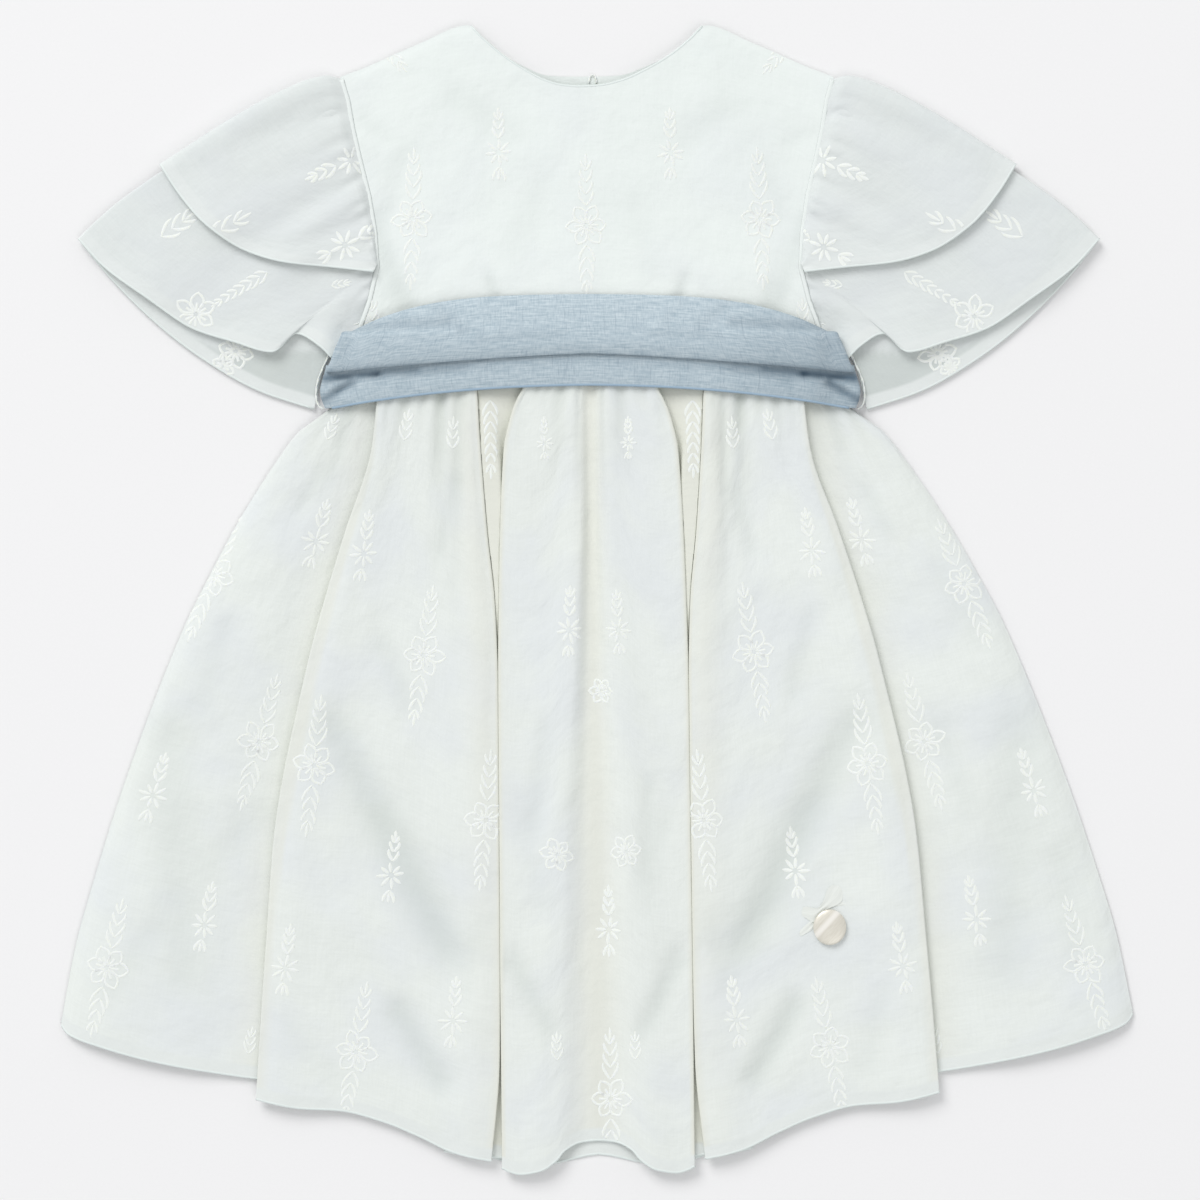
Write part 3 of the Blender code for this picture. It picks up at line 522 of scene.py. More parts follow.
def pressed(creases, x, y):
    """Depth of all creases at a place, each fading at its ends."""
    depth = 0.0
    for crease in creases:
        if crease.side * x < 0.0:
            continue
        run_x = crease.end_x - crease.x
        run_y = crease.end_y - crease.y
        length = math.hypot(run_x, run_y)
        along = ((abs(x) - crease.x) * run_x + (y - crease.y) * run_y) / length
        beyond = max(-along, along - length, 0.0)
        if beyond > 3.0 * crease.half_width:
            continue
        across = abs((abs(x) - crease.x) * run_y - (y - crease.y) * run_x) / length
        depth += crease.depth * bump(math.hypot(across, beyond), crease.half_width)
    return depth


def gathered(x, y):
    """Depth of the gathers at a place below the waist seam."""
    depth = 0.0
    for gather in GATHERS:
        if gather.side * x < 0.0:
            continue
        share = (waist(gather.x) - y) / gather.length
        if share > 1.0:
            continue
        middle = mix(gather.x, gather.end_x, clamp(share))
        widened = 0.7 * gather.half_width * (1.0 + share)
        depth += gather.depth * (1.0 - ease(share)) * bump(abs(x) - middle, widened)
    return depth


def skirt_sink(x, y):
    return gathered(x, y) + pressed(SKIRT_CREASES, x, y)


def skirt_lines(down):
    return {name: read(SKIRT_ROWS, "down", name, down) for name in SkirtRow._fields}


def centre_leg(line, down, hand):
    """From the middle of the skirt over its ridge to the centre panel's folded edge."""
    points = []
    inset = line["roll"] / 2 + WALL / 2
    edge_x = line["centre"] - inset
    top_edge = TOP_ROW.centre - TOP_ROW.roll / 2 - WALL / 2
    hem_edge = HEM_ROW.centre - HEM_ROW.roll / 2 - WALL / 2
    depth = mix(VALLEY_TOP_DEPTH, VALLEY_DEPTH, ease(down / 0.3))
    width = max(line["valley"], 4.0)
    for share in even(0.0, 1.0, 37)[:-1]:
        x = edge_x * share
        y = mix(waist(top_edge * share), read(CENTRE_HEM, "x", "y", hem_edge * share), down)
        top = FRONT_LEVEL + LAYER_STEP + line["roll"] + lift(y)
        climb = ease((x - 0.3 * width) / (0.95 * width))
        ridge = RIDGE * bump(x - 1.7 * width, 8.0) * ease(down / 0.2)
        sink = skirt_sink(hand * x, y)
        points.append((x, y, top + ridge - depth * (1.0 - climb) - sink * climb))
    return points


def tucked(line, down, edge, tuck, outward):
    """A folded edge and the cloth's two turns beneath it, from the top layer to the lowest."""
    x = line[edge]
    top_x = getattr(TOP_ROW, edge)
    top_tuck = getattr(TOP_ROW, edge + "_tuck")
    y = mix(waist(top_x) - SEAM_ROOM, EDGE_HEM[edge], down)
    y_low = mix(waist(top_x - outward * top_tuck) - SEAM_ROOM, TUCK_HEM[edge], down)
    low = FRONT_LEVEL + lift(y)
    middle = low + LAYER_STEP
    top = middle + line["roll"]
    points = [(px, y, pz) for px, pz in turn(x, top, middle, outward, 8)]
    points += [(px, y_low, pz) for px, pz in turn(x - outward * tuck, middle, low, -outward, 6)]
    return points


def under_leg(line, down):
    """The cloth that shows in the opening between the two folded edges below the waist."""
    start = line["centre"] - line["centre_tuck"]
    end = line["pleat"] + line["pleat_tuck"]
    top_start = TOP_ROW.centre - TOP_ROW.centre_tuck
    top_end = TOP_ROW.pleat + TOP_ROW.pleat_tuck
    hem_start = HEM_ROW.centre - HEM_ROW.centre_tuck
    hem_end = HEM_ROW.pleat + HEM_ROW.pleat_tuck
    # It is pushed up between them, close against both
    from_edge = line["centre"] - PLEAT_OVERLAP
    to_edge = line["pleat"] + PLEAT_OVERLAP
    puff = PLEAT_PUFF * mix(0.5, 1.0, ease((down - 0.03) / 0.09)) * (1.0 - ease((down - 0.3) / 0.12))
    slope = max((line["pleat"] - line["centre"] - 2.0) * (1.0 - ease((down - 0.06) / 0.12)), 0.35)
    places = [mix(start, end, share) for share in even(0.1, 0.9, 33)]
    points = []
    for x in sorted(places + [from_edge, from_edge + 0.35, to_edge - 0.4, to_edge]):
        share = (x - start) / (end - start)
        hem = read(UNDER_HEM, "x", "y", mix(hem_start, hem_end, share))
        y = mix(waist(mix(top_start, top_end, share)), hem, down)
        hump = puff * ease((x - from_edge) / slope) * ease((to_edge - x) / 0.4)
        points.append((x, y, FRONT_LEVEL + lift(y) + hump))
    return points


def panel_point(across, down, hand):
    """A place on the panel between the pleat edge and the side fold."""
    line = skirt_lines(down)
    inset = line["roll"] / 2 + WALL / 2
    hem_inset = HEM_ROW.roll / 2 + WALL / 2
    x = mix(line["pleat"] + inset, line["fold"] - inset, across)
    top_x = mix(TOP_ROW.pleat, TOP_ROW.fold, across)
    hem_x = mix(HEM_ROW.pleat + hem_inset, HEM_ROW.fold - hem_inset, across)
    y = mix(waist(top_x), read(PANEL_HEM, "x", "y", hem_x), down)
    top = FRONT_LEVEL + LAYER_STEP + line["roll"] + lift(y)
    crown = read(PANEL_CROWN, "share", "rise", across) * mix(0.6, 1.0, ease(down / 0.3))
    sink = skirt_sink(hand * x, y)
    return (x, y, top + crown - sink * ease(min(across, 1.0 - across) / 0.1))


def side_leg(line, down, hand):
    """The outer panel, from beneath the side fold to the side seam, where it turns down."""
    start = line["fold"] - line["fold_tuck"]
    top_start = TOP_ROW.fold - TOP_ROW.fold_tuck
    hem_start = HEM_ROW.fold - HEM_ROW.fold_tuck
    points = []
    for share in even(0.1, 0.96, 28) + [0.975, 0.987, 0.995, 1.0]:
        x = mix(start, line["side"], share)
        hem_x = mix(hem_start, HEM_ROW.side, share)
        top_y = waist(mix(top_start, TOP_ROW.side, share))
        y = mix(top_y, read(SIDE_HEM, "x", "y", hem_x), down)
        across = clamp((x - line["fold"]) / (line["side"] - line["fold"]))
        crown = read(SIDE_CROWN, "share", "rise", across) * mix(0.25, 1.0, ease(down / 0.3))
        sink = skirt_sink(hand * x, y) * ease(across / 0.2)
        sink *= ease((1.0 - across) / 0.2)
        points.append((x, y, FRONT_LEVEL + lift(y) + max(crown - sink, 0.0) - seam_turn(share)))
    return points


def skirt_half(down, hand):
    """One half of a row of the skirt front, as stretches that run out from the middle."""
    line = skirt_lines(down)
    return [
        centre_leg(line, down, hand),
        tucked(line, down, "centre", line["centre_tuck"], 1),
        under_leg(line, down),
        list(reversed(tucked(line, down, "pleat", line["pleat_tuck"], -1))),
        [panel_point(share, down, hand) for share in even(0.03, 0.97, 56)],
        tucked(line, down, "fold", line["fold_tuck"], 1),
        side_leg(line, down, hand),
    ]


def skirt_cream_tint_and_shade(x, y):
    """A cream tint in the middle valley, the pleat's opening, beside the pleat, under the side fold and in
    the bottom of each gather: partly the lining's own tone through the layers, partly painted shade in
    these recesses."""
    down = clamp((waist(x) - y) / (waist(0.0) + 257.0))
    line = skirt_lines(down)
    across = abs(x)
    shade = 0.85 * bump(across, 0.75 * max(line["valley"], 7.0))
    opening = ease((across - line["centre"] + 2.5) / 2.0) * ease((line["pleat"] + 2.5 - across) / 2.0)
    beside_pleat = 0.5 * bump(across - line["pleat"] - 6.0, 8.0) * (1.0 - 0.6 * ease((down - 0.5) / 0.3))
    past_fold = across - line["fold"]
    beside_fold = 0.6 * ease((past_fold + 2.0) / 2.0) * (1.0 - ease(past_fold / 22.0))
    return max(shade, opening, beside_pleat, beside_fold, 0.18 * gathered(x, y))


def skirt_painted_shade(x, y):
    """Painted shade: the cloth is drawn greyer in its creases and gathers and just under the sash, where
    shade falls.
    """
    under_sash = 0.16 * (1.0 - ease((waist(x) - 14.0 - y) / 10.0))
    top = ease((y - 20.0) / 40.0)
    return 0.15 * pressed(SKIRT_CREASES, x, y) + mix(0.1, 0.2, top) * gathered(x, y) + under_sash


SKIRT_DOWN = sorted(even(0.0, 1.0, 72) + [0.008, 0.02, 0.035, 0.05, 0.99, 0.996])
skirt_halves = {hand: [skirt_half(down, hand) for down in reversed(SKIRT_DOWN)] for hand in HANDS}
skirt_rows = []
for right, left in zip(skirt_halves[1], skirt_halves[-1]):
    skirt_rows.append(whole(*([point for stretch in half for point in stretch] for half in (right, left))))
skirt_front = cut_cloth(
    "skirt_front_cloth", skirt_rows, WALL, lined_voile,
    shades={"cream_tint_and_painted_shade": skirt_cream_tint_and_shade, "painted_shade": skirt_painted_shade})
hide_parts("skirt_front")
skirt_front_hem = hem_bead("skirt_front_hem", skirt_rows[0], hem_voile)

# Skirt back: the same cloth in one plain width, flat on the table, joined to the front
# down both sides.
BACK_HEM = named(HemPoint, [
    (0, -255.1), (8.4, -256.4), (17.7, -258.6), (30, -260.2), (44, -257.6), (60, -251.5), (74, -246.5),
    (99, -236.5), (124, -230.5), (148, -221.5), (173, -214.5), (198, -209.5), (222, -203.5), (246, -191.5),
])


def skirt_back_row(down):
    side = read(SKIRT_ROWS, "down", "side", down) - mix(1.9, 0.0, ease((down - 0.045) / 0.03))
    shares = even(0.0, 0.97, 46) + [0.985, 0.993, 1.0]
    half = []
    for share in shares:
        y = mix(waist(WAIST_HALF * share), read(BACK_HEM, "x", "y", share * BACK_HEM[-1].x), down)
        half.append((side * share, y, BACK_LEVEL + lift(y) + seam_turn(share)))
    return whole(half, half)


skirt_back_rows = [list(reversed(skirt_back_row(down))) for down in reversed(SKIRT_DOWN)]
skirt_back = cut_cloth("skirt_back_cloth", skirt_back_rows, WALL, lined_voile)
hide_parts("skirt_back")
skirt_back_hem = hem_bead("skirt_back_hem", skirt_back_rows[0], hem_voile, 1.5, 0.9)

# Bodice: a front and two back halves of the same lined voile, sewn at the shoulders and
# sides and turned in round the neck.
Side = namedtuple("Side", "y x")
BODICE_SIDE = named(Side, [
    (104, 118.6), (112, 115.4), (118, 111), (127.4, 104.9), (143.4, 100), (152.6, 97.7), (173, 98.9),
    (194, 102.8), (215, 108), (226, 109.4), (241.7, 113.6),
])
Neck = namedtuple("Neck", "x front back")
NECK = named(Neck, [
    (0, 236.1, 240.9), (8, 236.6, 241), (17, 238.8, 241.6), (28.5, 244.4, 246), (39.9, 251.9, 252.4),
    (49, 259.8, 259.8), (54.5, 264.9, 264.9), (76.7, 256.8, 256.8), (102.1, 246, 246),
    (113.6, 241.7, 241.7),
])
NECK_ASKEW = 2.4
BODICE_CROWN = 2.2
ARMHOLE_RISE = 0.5
BACK_INSET = 1.0
BODICE_CREASES = named(Crease, [
    (0, 100, 176, 84, 134, 1.7, 5), (-1, 45.5, 148, 42.5, 139, 1.3, 2.6),
    (1, 44.5, 148, 41.5, 139, 1.3, 2.6), (-1, 60, 232, 36, 214, 0.8, 7), (1, 66, 226, 44, 210, 0.7, 7),
    (-1, 20, 190, 34, 158, 0.5, 6), (1, 24, 182, 30, 150, 0.5, 6), (-1, 84, 206, 92, 180, 0.6, 5),
    (1, 82, 200, 90, 178, 0.6, 5), (-1, 104, 222, 92, 214, 0.7, 3), (1, 104, 218, 92, 212, 0.7, 3),
])


def bodice_waist_cream_tint(x, y):
    return 0.3 * bump(y - waist(x) - 12.0, 12.0)


# Painted shade: the bodice is drawn greyer in its creases.
def bodice_painted_shade(x, y):
    return 0.13 * pressed(BODICE_CREASES, x, y)


def bodice_point(across, up, face, hand=1):
    """A place on the front or back of the bodice, by share of its half width and height."""
    bottom_x = BODICE_SIDE[0].x * across
    top_x = NECK[-1].x * across
    bottom_y = waist(bottom_x) + SEAM_ROOM / 2
    top_y = read(NECK, "x", face, abs(hand * top_x + NECK_ASKEW * (1.0 - ease(top_x / 48.0))))
    y = mix(bottom_y, top_y, up)
    straight = mix(BODICE_SIDE[0].x, NECK[-1].x, up)
    side_y = mix(BODICE_SIDE[0].y + SEAM_ROOM / 2, BODICE_SIDE[-1].y, up)
    edge = read(BODICE_SIDE, "y", "x", side_y) - straight
    x = mix(bottom_x, top_x, up) + edge * across ** 2.5
    shoulder = 0.7 * ease((up - 0.97) / 0.03) * ease((top_x - 50.0) / 5.0)
    if face == "back":
        x -= BACK_INSET * across ** 3 * (1.0 - ease(up / 0.25))
        return (x, y, BACK_LEVEL + lift(y) + shoulder)
    crown = BODICE_CROWN * (1.0 - across ** 2) * mix(1.0, 0.75, ease((up - 0.6) / 0.4))
    sink = pressed(BODICE_CREASES, hand * x, y) * ease((1.0 - across) / 0.1)
    edge_rise = ARMHOLE_RISE * (1.0 - ease((1.0 - across) / 0.12))
    return (x, y, FRONT_LEVEL + lift(y) + max(crown - sink, 0.0) + edge_rise - shoulder)


BODICE_UP = sorted(even(0.0, 1.0, 48) + [0.985, 0.993])
BODICE_ACROSS = even(0.0, 1.0, 50)
bodice_front_rows = []
bodice_back_rows = {1: [], -1: []}
for up in BODICE_UP:
    bodice_front_rows.append(whole(*(
        [bodice_point(across, up, "front", hand) for across in BODICE_ACROSS] for hand in HANDS)))
    for hand in HANDS:
        half = [bodice_point(across, up, "back", hand) for across in BODICE_ACROSS]
        half[0] = (0.03, half[0][1], half[0][2])
        bodice_back_rows[hand].append(list(reversed(half)) if hand == 1 else mirrored(half))
bodice_front = cut_cloth(
    "bodice_front_cloth", bodice_front_rows, WALL, bodice_voile,
    shades={"cream_tint_and_painted_shade": bodice_waist_cream_tint, "painted_shade": bodice_painted_shade})
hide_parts("bodice_front")
neck_edge = [(x, y, z + 0.2) for x, y, z in bodice_front_rows[-1] if abs(x) < 54.0]
neck_bead = hem_bead("neck_front_edge", neck_edge, hem_voile, 1.1, 0.5)
for hand, side_name in HANDS.items():
    cut_cloth(
        "bodice_back_" + side_name + "_cloth", bodice_back_rows[hand], WALL, bodice_voile)
    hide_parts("bodice_back_" + side_name)


def armhole_x(y):
    """X of the bodice's side edge at a height."""
    for low, high in zip(armhole_edge, armhole_edge[1:]):
        if y <= high[1]:
            return mix(low[0], high[0], (y - low[1]) / (high[1] - low[1]))
    return armhole_edge[-1][0]


# Flutter sleeves: two tiers of unlined voile, each one piece folded along its top edge,
# gathered into the armhole and rolled at the hem.
Flutter = namedtuple("Flutter", "share arm_y hem_x hem_y wave")
UPPER_FRONT = named(Flutter, [
    (0, 241, 196.8, 202.8, 0),
    (0.14, 228, 188.5, 189.5, 0.8),
    (0.3, 213, 175.5, 174.2, 2.2),
    (0.5, 196, 156.5, 161.8, 0.4),
    (0.68, 182, 139, 156.6, 1.8),
    (0.84, 168, 119, 154.4, 0.3),
    (1, 155.5, 98.8, 151.9, 1.2),
])
UPPER_BACK = named(Flutter, [
    (0, 241, 196.8, 202.8, 0),
    (0.3, 213, 172, 171, 0),
    (0.6, 190, 143, 156, 0),
    (1, 155.5, 99, 150.5, 0),
])
LOWER_FRONT = named(Flutter, [
    (0, 238.4, 234.9, 168.8, 0),
    (0.12, 226, 223.1, 155.8, 0.6),
    (0.26, 210, 203, 140.8, 2),
    (0.4, 192, 182, 126.6, 0.4),
    (0.53, 175, 164, 120.6, 1.6),
    (0.66, 160, 146.4, 115.6, 2.8),
    (0.77, 150, 135.1, 124, 0),
    (0.89, 137, 124.6, 118.4, 2.4),
    (1, 123, 118.6, 112.6, 1.6),
])
LOWER_BACK = named(Flutter, [
    (0, 238.4, 234.9, 168.8, 0),
    (0.2, 222, 219.5, 149.8, 0),
    (0.4, 200, 197.6, 128, 0),
    (0.6, 180, 176.5, 111.8, 0),
    (0.8, 158, 152.5, 98, 0),
    (1, 130, 127.2, 89.2, 0),
])
Bow = namedtuple("Bow", "share upper lower")
FOLD_BOW = named(Bow, [
    (0, 0, 0), (0.1, 5.2, 5.2), (0.22, 7.1, 8.6), (0.34, 7.4, 9.8), (0.53, 6.3, 9.6), (0.68, 4.7, 8.6),
    (0.84, 2.3, 6.3), (0.93, 0.9, 3.4), (1, 0, 0),
])
Tier = namedtuple("Tier", "arm_top top bottom front_bow back_bow")
TIERS = {
    "upper": Tier(5.1, 6.5, 0.5, 0.0, 0.0),
    "lower": Tier(3.8, 4.2, 1.8, 1.2, 6.8),
}
BOW_ALONG_X = 0.87
BOW_ALONG_Y = 0.49
BODICE_EDGE_UP = [0.0, 0.07, 0.15, 0.25, 0.36, 0.48, 0.6, 0.72, 0.83, 0.92, 1.0]
SHEER_WALL = 0.4
ARMHOLE_TURN = 0.3
ARMHOLE_RISE_OVER = 0.09
SLEEVE_FRONT_COLUMNS = 90
PUCKER_REACH = 0.34
PUCKER_DEPTH = 0.42
FLUTE_DEPTH = 0.55
armhole_edge = [bodice_point(1.0, up, "front") for up in BODICE_EDGE_UP]


def pucker(share, out, phase):
    """Small uneven gathers that run out from the armhole seam."""
    waves = math.sin(share * 57.0 + phase) + 0.6 * math.sin(share * 93.0 + 2.0 * phase)
    near = PUCKER_DEPTH * waves * (1.0 - ease(out / PUCKER_REACH))
    flutes = math.sin(share * 21.0 + 2.0 * phase) + 0.7 * math.sin(share * 34.0 - phase + 2.5 * out)
    far = FLUTE_DEPTH * flutes * (1.0 - 0.7 * ease((out - 0.45) / 0.5))
    return (near + far) * ease(out / 0.03) * ease(share / 0.1)


def flutter_point(rows, tier, name, share, out, top):
    """A place on one half of a flutter sleeve."""
    arm_y = read(rows, "share", "arm_y", share)
    x = mix(armhole_x(arm_y) - ARMHOLE_TURN, read(rows, "share", "hem_x", share), out)
    y = mix(arm_y, read(rows, "share", "hem_y", share), out)
    y += read(FOLD_BOW, "share", name, out) * (1.0 - share) ** 2
    end_bow = (tier.front_bow if top else tier.back_bow) * share ** 6 * math.sin(math.pi * out ** 0.65)
    x += BOW_ALONG_X * end_bow
    y += BOW_ALONG_Y * end_bow
    if not top:
        return (x, y, tier.bottom)
    height = mix(tier.arm_top, tier.top, ease(out / 0.3))
    height += pucker(share, out, 0.7 if name == "upper" else 2.1)
    seam = FRONT_LEVEL + lift(arm_y) + ARMHOLE_RISE - (0.0 if name == "upper" else 0.7)
    height = mix(seam, height, ease((out + 0.01) / ARMHOLE_RISE_OVER))
    return (x, y, height + read(rows, "share", "wave", share) * ease((out - 0.5) / 0.5))


def flutter_rows(name, front, back):
    tier = TIERS[name]
    rows = []
    step = 0.01
    turn_steps = 8
    for out in even(0.0, 1.0, 44):
        here = flutter_point(front, tier, name, 0.0, out, True)
        ahead = flutter_point(front, tier, name, 0.0, min(out + step, 1.0), True)
        behind = flutter_point(front, tier, name, 0.0, max(out - step, 0.0), True)
        length = math.hypot(ahead[0] - behind[0], ahead[1] - behind[1])
        normal = ((behind[1] - ahead[1]) / length, (ahead[0] - behind[0]) / length)
        radius = (here[2] - tier.bottom) / 2
        shares = even(1.0, 0.04, SLEEVE_FRONT_COLUMNS)
        row = [flutter_point(front, tier, name, share, out, True) for share in shares]
        for i in range(turn_steps + 1):
            angle = math.pi * i / turn_steps
            inset = radius * (math.sin(angle) - 1.0) - SHEER_WALL / 2
            height = mix(here[2], tier.bottom, (1.0 - math.cos(angle)) / 2)
            row.append((here[0] + normal[0] * inset, here[1] + normal[1] * inset, height))
        row += [flutter_point(back, tier, name, share, out, False) for share in even(0.06, 1.0, 34)]
        rows.append(row)
    return list(reversed(rows))


sheer_voile = voile("sheer_cotton_voile", "eff3f1", "e4e9e7", 0.86, "edf1ef", 0.35)
# The seam allowance, pressed flat over each armhole seam
for hand, side_name in HANDS.items():
    seam_line = []
    for y in even(240.5, 124.0, 90):
        ripple = 0.1 * math.sin(1.9 * y)
        seam_line.append((
            hand * (armhole_x(y) - ARMHOLE_TURN), y, FRONT_LEVEL + lift(y) + ARMHOLE_RISE + 0.4 + ripple))
    hem_bead(
        "armhole_seam_" + side_name, seam_line, bodice_voile, 2.2, 0.7)

# Painted shade: where the lower flutter's back shows beyond its front, over nothing but the table, it is
# drawn greyer.
FRONT_EDGE = named(HemPoint, [
    (130, 117), (141, 117), (158, 114.8), (180, 122), (197, 131), (215, 145), (233, 163),
])


def sleeve_painted_shade(x, y):
    return 0.42 * ease((read(FRONT_EDGE, "x", "y", abs(x)) - y) / 3.0)


SLEEVES = {"upper": (UPPER_FRONT, UPPER_BACK), "lower": (LOWER_FRONT, LOWER_BACK)}
sleeve_rows = {}
for tier_name, (front, back) in SLEEVES.items():
    rows = flutter_rows(tier_name, front, back)
    for hand, side_name in HANDS.items():
        node = "sleeve_" + tier_name + "_" + side_name
        sleeve_rows[node] = rows if hand == 1 else [mirrored(row) for row in rows]
        ordered = [list(reversed(row)) for row in rows] if hand == 1 else sleeve_rows[node]
        cut_cloth(
            node + "_cloth", ordered, SHEER_WALL, sheer_voile,
            shades={"painted_shade": sleeve_painted_shade} if tier_name == "lower" else None)
        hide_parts(node)
        hem_bead(
            node + "_hem", sleeve_rows[node][0], hem_voile, 1.2, 0.7)

# White cotton embroidery thread: smooth, a little brighter and glossier than the cloth,
# with its twist as a fine bump
cotton_thread = start_material("white_cotton_thread", 0.6, {
    "Sheen Weight": 0.2, "Subsurface Weight": 0.3, "Subsurface Radius": (0.0012, 0.0012, 0.001)})
twist = noise(cotton_thread, object_place(cotton_thread), 1600.0, 2.0)
to_shader(cotton_thread, mixed(cotton_thread, twist, "eaeee9", "f3f5f1"),
          relief(cotton_thread, 0.3, 0.0002, twist))

# Embroidery: a scattered repeat in white cotton thread, all on the right side of the cloth.
# A sprig is an outlined flower of six petals with leaves above and below, a daisy is
# eight single stitches with a few leaves, and a flower, spray or chain is petals or leaves
# alone, where a seam or fold cuts the rest off. Lean is in degrees, clockwise.
Motif = namedtuple("Motif", "kind cloth x y lean size")
MOTIFS = named(Motif, [
    ("sprig", "bodice", -1, 172, 0, 1), ("sprig", "bodice", -81, 176, 2, 1),
    ("sprig", "bodice", 79, 176, -2, 1), ("daisy", "bodice", -41, 206, 0, 1),
    ("daisy", "bodice", 38, 206, 0, 1), ("spray", "bodice", -90, 252, 140, 0.8),
    ("spray", "bodice", 88, 251, -140, 0.8), ("spray", "bodice", -100, 129, 0, 0.8),
    ("spray", "bodice", 98, 129, 0, 0.8), ("spray", "bodice", -62, 126, 0, 0.35),
    ("spray", "bodice", 56, 125, 0, 0.35), ("sprig", "side_left", -174, 13, 22, 1),
    ("daisy", "side_left", -127, 28, 17, 1), ("daisy", "panel_left", -105, 22, 9, 1),
    ("sprig", "panel_left", -78, -25, 9, 1), ("sprig", "side_left", -154, -64, 16, 1),
    ("sprig", "panel_left", -129, -75, 7, 1), ("daisy", "side_left", -203, -88, 18, 1),
    ("sprig", "panel_left", -50, -101, 5, 1), ("daisy", "panel_left", -94, -126, 7, 1),
    ("sprig", "side_left", -225, -167, 14, 1), ("daisy", "side_left", -180, -148, 12, 1),
    ("daisy", "panel_left", -143, -168, 8, 1), ("sprig", "panel_left", -111, -207, 10, 1),
    ("daisy", "panel_left", -66, -193, 5, 1), ("spray", "side_left", -160, -204, 10, 0.7),
    ("daisy", "centre", -12, -14, 2, 1), ("daisy", "centre", 13, -14, -2, 0.9),
    ("flower", "centre", 4, -42, 0, 0.6), ("flower", "centre", -18, -117, 10, 0.8),
    ("flower", "centre", 15, -116, -10, 0.8), ("daisy", "centre", 6, -152, 0, 1),
    ("spray", "centre", -19, -208, 0, 0.7), ("spray", "centre", 18, -208, 0, 0.7),
    ("sprig", "centre", 6, -230, 0, 1), ("spray", "panel_left", -106, 78, 12, 0.8),
    ("spray", "panel_left", -85, 78, 10, 0.8), ("spray", "panel_left", -63, 74, 4, 0.8),
    ("spray", "side_left", -120, 78, 22, 0.7), ("daisy", "centre", -22, 72, 0, 0.6),
    ("daisy", "centre", 18, 72, 0, 0.6), ("sprig", "panel_right", 74, -25, -9, 1),
    ("sprig", "panel_right", 126, -77, -8, 1), ("sprig", "side_right", 152, -67, -14, 1),
    ("sprig", "panel_right", 50, -102, -5, 1), ("sprig", "side_right", 225, -170, -16, 1),
    ("sprig", "panel_right", 107, -207, -11, 1), ("sprig", "side_right", 171, 6, -21, 1),
    ("daisy", "panel_right", 101, 22, -8, 1), ("daisy", "side_right", 124, 27, -14, 1),
    ("daisy", "side_right", 202, -90, -17, 1), ("daisy", "side_right", 175, -149, -10, 1),
    ("daisy", "panel_right", 141, -170, -8, 1), ("daisy", "panel_right", 64, -194, -6, 1),
    ("daisy", "panel_right", 92, -126, -6, 1), ("spray", "side_right", 156, -207, -10, 0.7),
    ("spray", "panel_right", 105, 78, -12, 0.8), ("spray", "panel_right", 83, 78, -10, 0.8),
    ("spray", "panel_right", 65, 74, -4, 0.8), ("chain", "under_left", -46, 92, 0, 0.9),
    ("chain", "under_right", 47, 92, 0, 0.9), ("spray", "lower_left", -192, 172, 55, 1.1),
    ("spray", "upper_left", -169, 171, 60, 1.2), ("daisy", "upper_left", -112, 164, 62, 1.1),
    ("flower", "lower_left", -181, 133, 30, 1), ("chain", "lower_left", -148, 152, 59, 0.75),
    ("daisy", "upper_left", -109, 203, -113, 1.1), ("flower", "back_left", -163, 116, 20, 0.9),
    ("flower", "back_left", -169, 109, 40, 0.6), ("spray", "lower_left", -116, 146, 80, 0.5),
    ("spray", "lower_right", 195, 172, -55, 1.1), ("spray", "upper_right", 169, 171, -60, 1.2),
    ("daisy", "upper_right", 108, 163, -62, 1.1), ("flower", "lower_right", 177, 132, -30, 1),
    ("chain", "lower_right", 145, 152, -59, 0.75), ("daisy", "upper_right", 108, 203, 113, 1.1),
    ("flower", "back_right", 160, 115, -20, 0.9), ("flower", "back_right", 166, 109, -40, 0.6),
    ("spray", "lower_right", 114, 146, -80, 0.5),
])
PETAL_LENGTH = 9.6
PETAL_WIDTH = 5.6
PETAL_START = 1.2
OUTLINE_WIDTH = 1.25
STITCH_HEIGHT = 0.3
LEAF_LENGTH = 7.8
LEAF_WIDTH = 1.5
LEAF_SPREAD = 0.46
LEAF_CURVE = 1.75
LEAF_STEP = 5.4
DAISY_PETAL = 5.2
DAISY_PETAL_WIDTH = 1.8
DAISY_LEAF = 5.6
DAISY_LEAF_STEP = 4.2
needle = random.Random(11)


def chart(rows, up, first=0, last=None, rolled=False):
    """A finder of the place and outward direction on the cloth for a place on the pattern.
    Where the cloth is rolled round a fold, the pattern is measured along it."""
    last = len(rows[0]) - 1 if last is None else last
    middle = (first + last) // 2
    flat = []
    solid = []
    for row in rows:
        along = travel([(x, 0.0, z) for x, y, z in row[first:last + 1]])
        hand = 1.0 if row[last][0] > row[first][0] else -1.0
        for c in range(first, last + 1):
            x = row[c][0]
            if rolled:
                x = row[middle][0] + hand * (along[c - first] - along[middle - first])
            flat.append((x, row[c][1], 0.0))
            solid.append(row[c])
    across = last - first + 1
    corners = []
    for r in range(len(rows) - 1):
        for c in range(across - 1):
            here = r * across + c
            corners.append((here, here + 1, here + across + 1))
            corners.append((here, here + across + 1, here + across))
    tree = BVHTree.FromPolygons(flat, corners)

    def outward(ids):
        start, one, two = (Vector(solid[i]) for i in ids)
        return (one - start).cross(two - start).normalized()

    sample = outward(corners[(len(rows) // 2) * 2 * (across - 1) + across])
    sign = 1.0 if sample.z * up > 0.0 else -1.0

    def find(x, y):
        _, _, index, _ = tree.ray_cast((x, y, 1.0), (0.0, 0.0, -1.0))
        if index is None:
            return None
        ids = corners[index]
        place = barycentric_transform(
            Vector((x, y, 0.0)), *(Vector(flat[i]) for i in ids), *(Vector(solid[i]) for i in ids))
        return place, outward(ids) * sign

    return find


